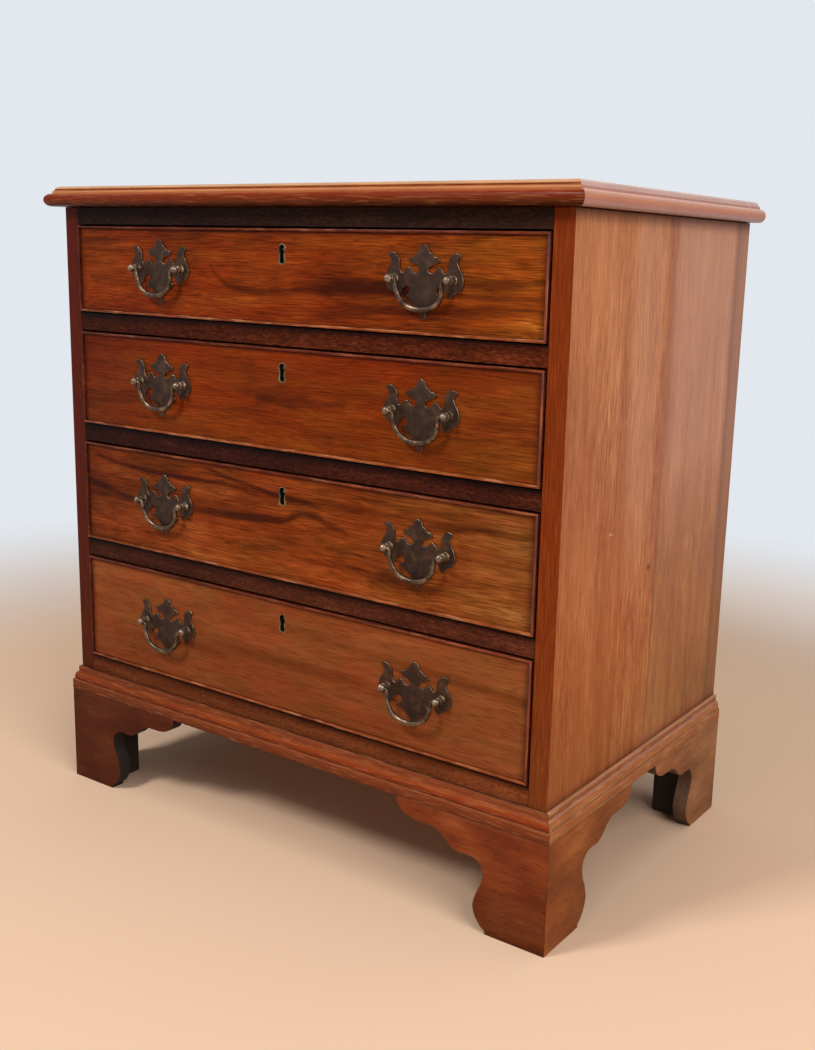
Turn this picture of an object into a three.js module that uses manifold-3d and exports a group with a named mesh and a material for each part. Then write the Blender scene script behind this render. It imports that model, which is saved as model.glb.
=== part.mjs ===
// Bachelors chest: four graduated drawers in a solid case on bracket feet.
// Millimetres, +Z up, +X to the right, drawers open towards -Y.
// The origin is on the floor under the middle of the whole chest.

import * as THREE from 'three';
import { mergeVertices } from 'three/addons/utils/BufferGeometryUtils.js';
import Module from 'manifold-3d';

const wasm = await Module();
wasm.setup();

// Case
const caseWide = 700;
const caseDeep = 427;
const sideThick = 22;
const backThick = 8;
const backRebate = 12;
const boardJoint = 1.5;
const topRailTall = 20;
const railTall = 21.5;
const bottomRailTall = 21;
const openingTalls = [104, 115, 125, 134];
const railDeep = 60;
const apronDeep = 22;
const dustThick = 12;
const kickerWide = 30;
const housingDeep = 6;
const housingSetback = 12;

// Gaps: a glued seat, a drawer in its opening, a moving piece in its guide
const seat = 0.3;
const sideGap = 1.5;
const overGap = 1.8;
const underGap = 1;
const runGap = 0.3;
const overrun = 2;

// Top board and its moulded edge
const topOver = 18;
const thumbWide = 5.8;
const thumbDrop = 3.7;
const topFillet = 0.8;
const ovoloWide = 2.4;
const ovoloDrop = 3.2;
const torusRadius = 7.6;

// Base moulding
const bandProud = 9.2;
const bandTall = 11.8;
const bandArris = 0.8;
const beadProud = 3.3;
const beadTall = 8;
const beadArris = 0.9;
const swellStart = 4.6;
const swellProud = 7.4;
const swellTall = 9.4;

// Bracket feet
const footTall = 122.2;
const footLong = 188.5;
const bracketThick = 18;
const rearFootLong = 130;
const blockWide = 40;
const blockLift = 2;

// Drawers
const frontThick = 20;
const beadThick = 3;
const beadDeep = 7;
const beadStand = 3;
const drawerSideThick = 10;
const drawerBackThick = 9;
const drawerLong = 400;
const sideTopDrop = 3;
const backTopDrop = 4;
const sideRound = 3;
const bottomThick = 6;
const bottomLift = 8;
const grooveDeep = 5;
const tailPitch = 34;
const tailLap = 9.6;
const tailRootShare = 0.5;
const tailTipShare = 0.72;

// Drawer stops on each rail
const stopWide = 40;
const stopDeep = 20;
const stopTall = 5;
const stopSpread = 200;

// Locks and thread escutcheons
const keyholeDrop = 26.6;
const threadTall = 22.4;
const threadWide = 10.8;
const keyholeTall = 19.8;
const keyholeWide = 8.2;
const threadDeep = 6;
const threadStand = 0.2;
const lockWide = 60;
const lockTall = 40;
const lockPlateThick = 1.6;
const lockPlateMargin = 4;
const selvedgeThick = 2;
const lockInset = 8.8;
const keywayDeep = 6;
const pinRadius = 1.6;
const pinSetback = 3;
const pinRise = 5.2;
const boltWide = 28;
const boltThick = 5;
const boltLong = 13;
const boltSetback = 12.4;
const boltThrow = 7;
const mortiseRoom = 1.2;

// Handles
const handleSpread = 186;
const handleLifts = [3.5, 3.4, 2.3, 0.4];
const postSpread = 35.3;
const plateThick = 1.6;
const plateWide = 93.6;
const plateRise = 33.8;
const plateDrop = 39.2;
const postReach = 10;
const postBall = 4.6;
const postFoot = 5;
const postNeck = 3.7;
const postFootTall = 1.2;
const postNeckRise = 2.4;
const shankRadius = 2.4;
const shankHoleRadius = 2.9;
const nutRadius = 5.6;
const nutThick = 3.6;
const shankEnd = 2.4;
const pivotRadius = 1.55;
const pivotHoleRadius = 1.9;
const pivotHoleEnd = 1.6;
const pivotEndGap = 0.5;
const bailDrop = 30.4;
const bailArm = 2.25;
const bailMiddle = 3.3;

// How far each bail hangs off plumb towards its plate, in degrees, left and right on each drawer
const bailLeans = [[4.5, 11.5], [4, 8], [7, 3.5], [0, -3]];

// Facets of the curved parts, and turns as shares of a whole one
const thumbSteps = 4;
const ovoloSteps = 3;
const torusSteps = 8;
const swellSteps = 4;
const arrisSteps = 2;
const noseSteps = 4;
const roundSteps = 3;
const headSteps = 3;
const postSides = 8;
const shankSides = 6;
const nutSides = 6;
const holeSides = 8;
const bailSides = 8;
const quarterTurn = 1 / 4;
const halfTurn = 1 / 2;
const wholeTurn = 1;
const fullCircle = Math.PI * 2;

// Levels and planes that follow from the driving sizes
const frontY = (topOver - caseDeep) / 2;
const backY = frontY + caseDeep;
const innerBackY = backY - backThick - seat;
const halfCase = caseWide / 2;
const halfOpening = halfCase - sideThick;
const baseTall = bandTall + bandArris + swellTall + beadTall;
const baseLow = footTall + seat;
const baseHigh = baseLow + baseTall;
const drawerCount = openingTalls.length;
const openingLow = [];
const openingHigh = [];
let level = baseHigh + bottomRailTall;
for (let index = drawerCount - 1; index >= 0; index -= 1) {
  openingLow[index] = level;
  openingHigh[index] = level + openingTalls[index];
  level = openingHigh[index] + (index > 0 ? railTall : topRailTall);
}
const caseHigh = level;

// Finishes
const finish = (color, roughness, metalness = 0) => (
  new THREE.MeshStandardMaterial({ color, roughness, metalness })
);
const looks = {
  walnut: () => finish(0x8e4a20, 0.36),
  rail: () => finish(0x4a1a10, 0.4),
  side: () => finish(0x9a5632, 0.34),
  moulding: () => finish(0x8a3f22, 0.32),
  bead: () => finish(0x7c3420, 0.34),
  top: () => finish(0x96502c, 0.3),
  lining: () => finish(0xb08a5c, 0.62),
  deal: () => finish(0x9c7b54, 0.7),
  bronze: () => finish(0x4a3a2e, 0.42, 0.85),
  bail: () => finish(0x7a6040, 0.36, 0.9),
  brass: () => finish(0xa88a52, 0.4, 0.9),
  steel: () => finish(0x8c8474, 0.45, 0.9),
};

// Geometry to a solid for joining and cutting, and back
function solid(geometry) {
  const bare = geometry.clone();
  bare.deleteAttribute('normal');
  bare.deleteAttribute('uv');
  const merged = mergeVertices(bare);
  const vertProperties = new Float32Array(merged.attributes.position.array);
  const triVerts = new Uint32Array(merged.index.array);
  return new wasm.Manifold(new wasm.Mesh({ numProp: 3, vertProperties, triVerts }));
}

function geometryOf(body) {
  const mesh = body.getMesh();
  const geometry = new THREE.BufferGeometry();
  geometry.setAttribute('position', new THREE.BufferAttribute(mesh.vertProperties, mesh.numProp));
  geometry.setIndex(new THREE.BufferAttribute(mesh.triVerts, 1));
  return geometry;
}

function join(first, ...others) {
  let body = solid(first);
  for (const other of others) {
    body = body.add(solid(other));
  }
  return geometryOf(body);
}

function cut(first, ...tools) {
  let body = solid(first);
  for (const tool of tools) {
    body = body.subtract(solid(tool));
  }
  return geometryOf(body);
}

// Closed geometry from points and faces, turned so that the faces point out
function closed(spots, faces) {
  let volume = 0;
  const corner = (index) => new THREE.Vector3().fromArray(spots, index * 3);
  for (let at = 0; at < faces.length; at += 3) {
    const [a, b, c] = [corner(faces[at]), corner(faces[at + 1]), corner(faces[at + 2])];
    volume += a.dot(b.cross(c));
  }
  if (volume < 0) {
    faces.reverse();
  }
  const geometry = new THREE.BufferGeometry();
  geometry.setAttribute('position', new THREE.Float32BufferAttribute(spots, 3));
  geometry.setIndex(faces);
  return geometry;
}

function mirrored(geometry) {
  const flipped = mergeVertices(geometry).scale(-1, 1, 1);
  return closed(Array.from(flipped.attributes.position.array), Array.from(flipped.index.array));
}

// Skin over matching rings, closed at both ends or run round into itself
function loft(rings, outline, round = false) {
  const count = outline.length;
  const spots = rings.flat().flatMap((spot) => spot.toArray());
  const faces = [];
  const spans = round ? rings.length : rings.length - 1;
  for (let ring = 0; ring < spans; ring += 1) {
    const low = ring * count;
    const high = ((ring + 1) % rings.length) * count;
    for (let here = 0; here < count; here += 1) {
      const next = (here + 1) % count;
      faces.push(low + here, low + next, high + next);
      faces.push(low + here, high + next, high + here);
    }
  }
  if (!round) {
    const last = (rings.length - 1) * count;
    const flat = THREE.ShapeUtils.triangulateShape(outline, []);
    const turned = THREE.ShapeUtils.area(outline) < 0;
    for (const face of flat) {
      const [a, b, c] = turned ? [face[2], face[1], face[0]] : face;
      faces.push(c, b, a);
      faces.push(last + a, last + b, last + c);
    }
  }
  return closed(spots, faces);
}

function box(x0, x1, y0, y1, z0, z1) {
  const geometry = new THREE.BoxGeometry(x1 - x0, y1 - y0, z1 - z0);
  return geometry.translate((x0 + x1) / 2, (y0 + y1) / 2, (z0 + z1) / 2);
}

// An outline in X and Z pushed along Y, and one in Y and Z pushed along X
function alongY(shape, y0, y1, curveSegments = 1) {
  const geometry = new THREE.ExtrudeGeometry(shape, { depth: y1 - y0, bevelEnabled: false, curveSegments });
  geometry.rotateX(Math.PI / 2);
  return geometry.translate(0, y1, 0);
}

function alongX(shape, x0, x1, curveSegments = 1) {
  const geometry = new THREE.ExtrudeGeometry(shape, { depth: x1 - x0, bevelEnabled: false, curveSegments });
  geometry.rotateX(Math.PI / 2);
  geometry.rotateZ(Math.PI / 2);
  return geometry.translate(x0, 0, 0);
}

function rodAlongY(radius, y0, y1, sides) {
  return new THREE.CylinderGeometry(radius, radius, y1 - y0, sides).translate(0, (y0 + y1) / 2, 0);
}

function polygon(points) {
  return new THREE.Shape(points.map(([across, up]) => new THREE.Vector2(across, up)));
}

// Points on a quarter or half ellipse, ends included
function arc(centreAcross, centreUp, reachAcross, reachUp, fromTurn, toTurn, steps) {
  const points = [];
  for (let step = 0; step <= steps; step += 1) {
    const turn = (fromTurn + ((toTurn - fromTurn) * step) / steps) * fullCircle;
    points.push([centreAcross + reachAcross * Math.cos(turn), centreUp + reachUp * Math.sin(turn)]);
  }
  return points;
}

// A symmetric outline from its right half, top to bottom, given as shares
function symmetricOutline(shares, halfWide, rise, drop) {
  const half = shares.map(([across, up]) => [across * halfWide, up * (up > 0 ? rise : drop)]);
  const back = half.slice(1, -1).reverse().map(([across, up]) => [-across, up]);
  return polygon([...half, ...back]);
}

const chest = new THREE.Group();

function addPiece(name, geometry, material, parent = chest) {
  const mesh = new THREE.Mesh(geometry, material);
  mesh.name = name;
  parent.add(mesh);
}

// Top board: rectangles stacked down the moulded edge, its back edge square
function topEdgeProfile() {
  const torusStart = topOver - torusRadius;
  const ovoloStart = torusStart - ovoloWide;
  const thumbStart = ovoloStart - thumbWide;
  const ovoloTop = thumbDrop + topFillet;
  const torusMiddle = -ovoloTop - ovoloDrop - topFillet - torusRadius;
  return [
    ...arc(thumbStart, -thumbDrop, thumbWide, thumbDrop, quarterTurn, 0, thumbSteps),
    ...arc(ovoloStart, -ovoloTop - ovoloDrop, ovoloWide, ovoloDrop, quarterTurn, 0, ovoloSteps),
    ...arc(torusStart, torusMiddle, torusRadius, torusRadius, quarterTurn, -quarterTurn, torusSteps),
  ];
}

function topBoard() {
  const profile = topEdgeProfile();
  const topThick = -profile[profile.length - 1][1];
  const topHigh = caseHigh + seat + topThick;
  const rings = profile.map(([proud, drop]) => {
    const across = halfCase + proud;
    const height = topHigh + drop;
    return [
      new THREE.Vector3(-across, frontY - proud, height),
      new THREE.Vector3(across, frontY - proud, height),
      new THREE.Vector3(across, backY, height),
      new THREE.Vector3(-across, backY, height),
    ];
  });
  const outline = rings[0].map((spot) => new THREE.Vector2(spot.x, spot.y));
  return loft(rings, outline);
}

addPiece('top_board', topBoard(), looks.top());

// Case sides: solid boards housed for each rail and dust board, rebated for the back
function caseSide() {
  const board = box(halfOpening, halfCase, frontY, backY, baseLow, caseHigh);
  const housingFront = frontY + housingSetback;
  const housings = [...openingLow, caseHigh].map((high) => box(
    halfOpening - overrun,
    halfOpening + housingDeep,
    housingFront,
    backY + overrun,
    high - dustThick - seat,
    high + seat,
  ));
  const rebate = box(
    halfOpening - overrun,
    halfOpening + backRebate,
    backY - backThick - seat,
    backY + overrun,
    baseLow - overrun,
    caseHigh + overrun,
  );
  return cut(board, ...housings, rebate);
}

const rightSide = caseSide();
addPiece('side_right', rightSide, looks.side());
addPiece('side_left', mirrored(rightSide), looks.side());

// Back: boards edge to edge with a V joint between them, let into the rebates
function backPanel() {
  const half = halfOpening + backRebate - seat;
  const boardCount = 3;
  const boardWide = (half * 2) / boardCount;
  const section = [[-half, backY - backThick]];
  section.push([half, backY - backThick], [half, backY]);
  for (let joint = boardCount - 1; joint > 0; joint -= 1) {
    const middle = -half + joint * boardWide;
    section.push([middle + boardJoint, backY], [middle, backY - boardJoint], [middle - boardJoint, backY]);
  }
  section.push([-half, backY]);
  const tall = caseHigh - seat - baseLow;
  const geometry = new THREE.ExtrudeGeometry(polygon(section), { depth: tall, bevelEnabled: false });
  return geometry.translate(0, 0, baseLow);
}

addPiece('back_panel', backPanel(), looks.deal());

// A front rail with its dust board, kickers, drawer stops and lock mortise
function railFrame(low, high, { deep, kickers, stops, mortise }) {
  const half = halfOpening - seat;
  const dustLow = high - dustThick;
  const parts = [
    box(-half, half, frontY, innerBackY, dustLow, high),
    box(-half, half, frontY, frontY + deep, low, high),
  ];
  const tongue = halfOpening + housingDeep - seat;
  const tongueFront = frontY + housingSetback + seat;
  parts.push(box(-tongue, tongue, tongueFront, innerBackY, dustLow, high));
  if (kickers) {
    parts.push(box(-half, kickerWide - half, frontY, innerBackY, low, high));
    parts.push(box(half - kickerWide, half, frontY, innerBackY, low, high));
  }
  if (stops) {
    const stopFront = frontY + frontThick + runGap;
    for (const middle of [-stopSpread, stopSpread]) {
      const [left, right] = [middle - stopWide / 2, middle + stopWide / 2];
      parts.push(box(left, right, stopFront, stopFront + stopDeep, dustLow, high + stopTall));
    }
  }
  let body = join(...parts);
  if (mortise) {
    const halfMortise = boltWide / 2 + mortiseRoom;
    const mortiseFront = frontY + boltSetback - mortiseRoom;
    const mortiseBack = frontY + boltSetback + boltThick + mortiseRoom;
    const mortiseHigh = low + boltThrow + mortiseRoom;
    const pocket = box(-halfMortise, halfMortise, mortiseFront, mortiseBack, low - overrun, mortiseHigh);
    body = cut(body, pocket);
  }
  return body;
}

const topRailPlan = { deep: railDeep, kickers: true, stops: false, mortise: true };
const dividerPlan = { deep: railDeep, kickers: true, stops: true, mortise: true };
const bottomPlan = { deep: apronDeep, kickers: false, stops: true, mortise: false };
addPiece('top_frame', railFrame(openingHigh[0], caseHigh, topRailPlan), looks.rail());
for (let index = 1; index < drawerCount; index += 1) {
  const divider = railFrame(openingHigh[index], openingLow[index - 1], dividerPlan);
  addPiece(`divider_${index}`, divider, looks.rail());
}
addPiece('bottom_frame', railFrame(baseLow, openingLow[drawerCount - 1], bottomPlan), looks.rail());

// Base moulding: bead, swelling member and flat band, mitred at the front corners
function baseProfile() {
  const swellLow = baseTall - beadTall - swellTall;
  return [
    [seat, 0],
    [seat, baseTall],
    ...arc(beadProud - beadArris, baseTall - beadArris, beadArris, beadArris, quarterTurn, 0, arrisSteps),
    [beadProud, baseTall - beadTall],
    ...arc(swellStart, swellLow, swellProud - swellStart, swellTall, quarterTurn, 0, swellSteps),
    ...arc(bandProud - bandArris, swellLow - bandArris, bandArris, bandArris, quarterTurn, 0, arrisSteps),
    [bandProud, 0],
  ];
}

function baseLength(ringAtEnds) {
  const profile = baseProfile();
  const outline = profile.map(([proud, up]) => new THREE.Vector2(proud, up));
  const rings = [0, 1].map((end) => profile.map(([proud, up]) => ringAtEnds(end, proud, baseLow + up)));
  return loft(rings, outline);
}

const baseFront = baseLength((end, proud, height) => {
  const across = halfCase + proud - seat;
  return new THREE.Vector3(end ? across : -across, frontY - proud, height);
});
const baseRight = baseLength((end, proud, height) => {
  const along = end ? backY : frontY - proud + seat;
  return new THREE.Vector3(halfCase + proud, along, height);
});
addPiece('base_moulding_front', baseFront, looks.moulding());
addPiece('base_moulding_right', baseRight, looks.moulding());
addPiece('base_moulding_left', mirrored(baseRight), looks.moulding());

// Bracket feet: shaped brackets meeting at the corner, with a glue block behind
const bracketShares = [
  [0.38, 0.03], [0.418, 0.075], [0.45, 0.15], [0.463, 0.24], [0.446, 0.345], [0.417, 0.445],
  [0.404, 0.54], [0.421, 0.622], [0.463, 0.67], [0.518, 0.675], [0.575, 0.673], [0.626, 0.706],
  [0.682, 0.777], [0.74, 0.822], [0.81, 0.829], [0.893, 0.838], [0.957, 0.88], [0.99, 0.94], [1, 1],
];
const rearBracketShares = [
  [0.44, 0.03], [0.455, 0.2], [0.5, 0.42], [0.62, 0.63], [0.8, 0.76], [0.96, 0.84], [1, 1],
];

function bracketShape(shares, long, turned) {
  const sense = turned ? -1 : 1;
  const spots = shares.map(([along, up]) => new THREE.Vector2(sense * along * long, up * footTall));
  const shape = new THREE.Shape();
  shape.moveTo(0, 0);
  shape.lineTo(spots[0].x, 0);
  shape.lineTo(spots[0].x, spots[0].y);
  shape.splineThru(spots.slice(1));
  shape.lineTo(0, footTall);
  return shape;
}

// Built in its own corner: the outer corner at 0, 0, the brackets running to -X and inwards along Y
function foot(isRear) {
  const sense = isRear ? -1 : 1;
  const faceThick = sense * bracketThick;
  const [faceLow, faceHigh] = [Math.min(0, faceThick), Math.max(0, faceThick)];
  const faceShares = isRear ? rearBracketShares : bracketShares;
  const faceLong = isRear ? rearFootLong : footLong;
  const face = alongY(bracketShape(faceShares, faceLong, true), faceLow, faceHigh);
  const side = alongX(bracketShape(bracketShares, footLong, isRear), -bracketThick, 0);
  const nearSide = bracketThick - overrun;
  const farSide = bracketThick + blockWide;
  const [blockLow, blockHigh] = isRear ? [-farSide, -nearSide] : [nearSide, farSide];
  const block = box(-farSide, -nearSide, blockLow, blockHigh, blockLift, footTall);
  return join(face, side, block);
}

const footPlans = [
  { end: 'front', isRear: false, cornerY: frontY - bandProud },
  { end: 'back', isRear: true, cornerY: backY },
];
for (const plan of footPlans) {
  const right = foot(plan.isRear).translate(halfCase + bandProud, plan.cornerY, 0);
  addPiece(`foot_${plan.end}_right`, right, looks.moulding());
  addPiece(`foot_${plan.end}_left`, mirrored(right), looks.moulding());
}

// Keyhole outlines, round at the top, waisted, and rounded below
const threadShares = [
  [0, 1], [0.4, 0.95], [0.78, 0.8], [0.98, 0.57], [0.96, 0.36], [0.8, 0.1],
  [0.77, -0.1], [0.84, -0.36], [0.98, -0.62], [0.84, -0.86], [0.44, -0.97], [0, -1],
];
const keyholeShares = [
  [0, 1], [0.42, 0.95], [0.8, 0.8], [1, 0.58], [0.95, 0.36], [0.72, 0.08],
  [0.64, -0.14], [0.66, -0.4], [0.77, -0.68], [0.66, -0.88], [0.34, -0.97], [0, -1],
];

function keyholeShape(shares, wide, tall) {
  return symmetricOutline(shares, wide / 2, tall / 2, tall / 2);
}

const keyhole = () => keyholeShape(keyholeShares, keyholeWide, keyholeTall);

// Each drawer is built with its own origin at the middle of its front, low in its opening
const frontHalf = halfOpening - sideGap;
const sideInner = frontHalf - drawerSideThick;
const bottomLow = runGap + bottomLift;
const bottomHigh = bottomLow + bottomThick;

// Tails of one drawer side, spread up its height; the room widens them into their sockets
function tails(tall, innerX, outerX, room) {
  const count = Math.round(tall / tailPitch);
  const pitch = tall / count;
  const shapes = [];
  for (let tail = 0; tail < count; tail += 1) {
    const middle = runGap + pitch * (tail + 1 / 2);
    const rootHalf = (pitch * tailRootShare) / 2 + room;
    const tipHalf = (pitch * tailTipShare) / 2 + room;
    const tip = tailLap + seat - room;
    const root = frontThick + overrun;
    shapes.push(alongX(polygon([
      [tip, middle - tipHalf],
      [root, middle - rootHalf],
      [root, middle + rootHalf],
      [tip, middle + tipHalf],
    ]), innerX, outerX));
  }
  return shapes;
}

function drawerFront(tall, sideTall, handleLevel) {
  const [low, high] = [underGap, underGap + tall];
  const edge = beadThick + seat;
  const face = box(edge - frontHalf, frontHalf - edge, 0, frontThick, low + edge, high - edge);
  const ground = box(-frontHalf, frontHalf, beadDeep + seat, frontThick, low, high);
  const inside = frontThick + overrun;
  const grooveHalf = sideInner + grooveDeep;
  const grooveFront = frontThick - grooveDeep;
  const groove = box(-grooveHalf, grooveHalf, grooveFront, inside, bottomLow - seat, bottomHigh + seat);
  const rightSockets = tails(sideTall, sideInner - seat, frontHalf + overrun, seat);
  const sockets = rightSockets.flatMap((socket) => [socket, mirrored(socket)]);
  const keyLevel = high - keyholeDrop;
  const thread = keyholeShape(threadShares, threadWide + seat * 2, threadTall + seat * 2);
  const keyholes = [
    alongY(thread, -overrun, threadDeep + seat).translate(0, 0, keyLevel),
    alongY(keyhole(), threadDeep - overrun, lockInset + overrun).translate(0, 0, keyLevel),
  ];
  const halfLock = lockWide / 2 + seat;
  const halfPlate = lockWide / 2 + lockPlateMargin + seat;
  const lockFront = lockInset - seat;
  const plateLow = high - selvedgeThick - seat;
  const lockRoom = [
    box(-halfLock, halfLock, lockFront, inside, plateLow - lockTall, high + overrun),
    box(-halfPlate, halfPlate, lockFront, inside, plateLow, high + overrun),
  ];
  const shankHoles = [-1, 1].flatMap((side) => [-1, 1].map((end) => {
    const hole = rodAlongY(shankHoleRadius, -overrun, inside, holeSides);
    return hole.translate(side * handleSpread + end * postSpread, 0, handleLevel);
  }));
  return cut(join(face, ground), groove, ...sockets, ...keyholes, ...lockRoom, ...shankHoles);
}

// Cockbead: one rounded strip run round the front and mitred at its corners
function cockbead(tall) {
  const noseRadius = beadThick / 2;
  const profile = [
    [0, beadDeep],
    ...arc(noseRadius, noseRadius - beadStand, noseRadius, noseRadius, halfTurn, wholeTurn, noseSteps),
    [beadThick, beadDeep],
  ];
  const outline = profile.map(([inset, along]) => new THREE.Vector2(inset, along));
  const middle = underGap + tall / 2;
  const corners = [[-1, -1], [1, -1], [1, 1], [-1, 1]];
  const rings = corners.map(([acrossEnd, upEnd]) => profile.map(([inset, along]) => new THREE.Vector3(
    acrossEnd * (frontHalf - inset),
    along,
    middle + upEnd * (tall / 2 - inset),
  )));
  return loft(rings, outline, true);
}

// Drawer box: both sides and the back as dovetailed up, the side tops rounded over
function drawerBox(sideTall) {
  const sideHigh = runGap + sideTall;
  const roundUp = sideHigh - sideRound;
  const section = polygon([
    [sideInner, runGap],
    [frontHalf, runGap],
    ...arc(frontHalf - sideRound, roundUp, sideRound, sideRound, 0, quarterTurn, roundSteps),
    ...arc(sideInner + sideRound, roundUp, sideRound, sideRound, quarterTurn, halfTurn, roundSteps),
  ]);
  const plainSide = alongY(section, frontThick + seat, drawerLong);
  const rightSide = join(plainSide, ...tails(sideTall, sideInner, frontHalf, 0));
  const back = box(
    -sideInner - seat,
    sideInner + seat,
    drawerLong - drawerBackThick,
    drawerLong,
    bottomHigh + seat,
    sideHigh - backTopDrop,
  );
  const grooveHalf = sideInner + grooveDeep;
  const grooveEnd = drawerLong + overrun;
  const groove = box(-grooveHalf, grooveHalf, 0, grooveEnd, bottomLow - seat, bottomHigh + seat);
  return cut(join(rightSide, mirrored(rightSide), back), groove);
}

function drawerBottom() {
  const half = sideInner + grooveDeep - seat;
  const front = frontThick - grooveDeep + seat;
  return box(-half, half, front, drawerLong, bottomLow, bottomHigh);
}

// Thread escutcheon: a thin keyhole-shaped brass ring let into the front
function escutcheon() {
  const thread = alongY(keyholeShape(threadShares, threadWide, threadTall), -threadStand, threadDeep);
  return cut(thread, alongY(keyhole(), -overrun, threadDeep + overrun));
}

// Lock: cased works let into the front from behind, with a selvedge over its top
function lockCase() {
  const halfCaseWide = lockWide / 2;
  const halfPlate = halfCaseWide + lockPlateMargin;
  const plateBack = frontThick + seat + lockPlateThick;
  const works = box(-halfCaseWide, halfCaseWide, lockInset, plateBack, -selvedgeThick - lockTall, 0);
  const plate = box(
    -halfPlate,
    halfPlate,
    frontThick + seat,
    plateBack,
    -selvedgeThick - lockTall - lockPlateMargin,
    0,
  );
  const selvedge = box(-halfPlate, halfPlate, lockInset, plateBack, -selvedgeThick, 0);
  const keyway = alongY(keyhole(), lockInset - overrun, lockInset + keywayDeep);
  keyway.translate(0, 0, -keyholeDrop);
  const halfSlot = boltWide / 2 + runGap;
  const slot = box(
    -halfSlot,
    halfSlot,
    boltSetback - runGap,
    boltSetback + boltThick + runGap,
    -boltLong - runGap,
    overrun,
  );
  const pin = rodAlongY(pinRadius, pinSetback, lockInset + keywayDeep + overrun, holeSides);
  pin.translate(0, 0, pinRise - keyholeDrop);
  const body = cut(join(works, plate, selvedge), keyway, slot);
  return join(body, pin);
}

const lockBolt = () => box(-boltWide / 2, boltWide / 2, boltSetback, boltSetback + boltThick, -boltLong, 0);

// Handle plate: a batwing outline, given as shares of its half width, rise and drop
const plateShares = [
  [0, 1], [0.075, 0.96], [0.117, 0.87], [0.13, 0.785], [0.2, 0.735], [0.26, 0.655], [0.35, 0.625],
  [0.405, 0.55], [0.34, 0.475], [0.2, 0.4], [0.125, 0.31], [0.11, 0.24], [0.17, 0.182], [0.26, 0.185],
  [0.31, 0.275], [0.38, 0.343], [0.455, 0.3], [0.49, 0.22], [0.53, 0.185], [0.575, 0.19], [0.618, 0.31],
  [0.628, 0.55], [0.69, 0.67], [0.765, 0.742], [0.85, 0.752], [0.945, 0.685], [0.875, 0.6],
  [0.845, 0.5], [0.885, 0.355], [0.955, 0.2], [0.998, 0.03], [0.995, -0.105], [0.95, -0.22],
  [0.87, -0.295], [0.795, -0.33], [0.665, -0.465], [0.6, -0.375], [0.55, -0.26],
  [0.49, -0.19], [0.42, -0.17], [0.36, -0.21], [0.34, -0.3], [0.385, -0.37], [0.47, -0.425],
  [0.41, -0.51], [0.325, -0.557], [0.24, -0.615], [0.168, -0.7], [0.088, -0.788], [0.062, -0.855],
  [0.082, -0.91], [0.058, -0.97], [0, -1],
];

function handlePlate() {
  const plateFace = -seat - plateThick;
  const outline = symmetricOutline(plateShares, plateWide / 2, plateRise, plateDrop);
  const plate = alongY(outline, plateFace, -seat);
  const pivotY = plateFace - postReach;
  const headTurn = Math.acos(postNeck / postBall) / fullCircle;
  const postProfile = [
    ...arc(0, -postReach, postBall, postBall, -quarterTurn, headTurn, headSteps),
    [postNeck, -postNeckRise],
    [postFoot, -postFootTall],
    [postFoot, plateThick / 2],
    [0, plateThick / 2],
  ].map(([radius, along]) => new THREE.Vector2(radius, along));
  postProfile[0].x = 0;
  const parts = [];
  const holes = [];
  for (const end of [-1, 1]) {
    const middle = end * postSpread;
    const post = new THREE.LatheGeometry(postProfile, postSides).translate(middle, plateFace, 0);
    const nutFace = frontThick + seat;
    const nutEnd = nutFace + nutThick;
    const shank = rodAlongY(shankRadius, plateFace + plateThick / 2, nutEnd + shankEnd, shankSides);
    const nut = rodAlongY(nutRadius, nutFace, nutEnd, nutSides);
    parts.push(post, shank.translate(middle, 0, 0), nut.translate(middle, 0, 0));
    const holeStart = postBall + overrun;
    const holeLong = holeStart + pivotHoleEnd;
    const hole = new THREE.CylinderGeometry(pivotHoleRadius, pivotHoleRadius, holeLong, holeSides);
    hole.rotateZ(Math.PI / 2);
    holes.push(hole.translate(middle - (end * (holeStart - pivotHoleEnd)) / 2, pivotY, 0));
  }
  return cut(join(plate, ...parts), ...holes);
}

// Bail: a drop thin at its pivots and full at the middle, its pins in the posts
const bailShares = [
  [0.865, 0], [0.808, 0.04], [0.789, 0.18], [0.765, 0.4],
  [0.69, 0.62], [0.53, 0.82], [0.29, 0.953], [0, 1],
];

function bail() {
  const drop = bailShares.map(([across, down]) => [across * postSpread, -down * bailDrop]);
  const half = [[postSpread + pivotHoleEnd - pivotEndGap, 0], ...drop];
  const spots = [...half, ...half.slice(0, -1).reverse().map(([across, up]) => [-across, up])];
  const ringCount = spots.length;
  const rings = spots.map(([across, up], index) => {
    const before = spots[Math.max(index - 1, 0)];
    const after = spots[Math.min(index + 1, ringCount - 1)];
    const run = new THREE.Vector2(after[0] - before[0], after[1] - before[1]).normalize();
    const depthShare = Math.min(-up / bailDrop, 1);
    const neck = Math.min(depthShare / bailShares[2][1], 1);
    const thick = pivotRadius + (bailArm - pivotRadius) * neck + (bailMiddle - bailArm) * depthShare ** 3;
    return Array.from({ length: bailSides }, (_, side) => {
      const turn = ((side + 1 / 2) / bailSides) * fullCircle;
      const out = thick * Math.cos(turn);
      return new THREE.Vector3(across + run.y * out, thick * Math.sin(turn), up - run.x * out);
    });
  });
  const outline = rings[0].map((spot) => new THREE.Vector2(spot.y, spot.z));
  return loft(rings, outline);
}

const plateGeometry = handlePlate();
const bailGeometry = bail();
const escutcheonGeometry = escutcheon();
const lockGeometry = lockCase();
const boltGeometry = lockBolt();

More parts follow.
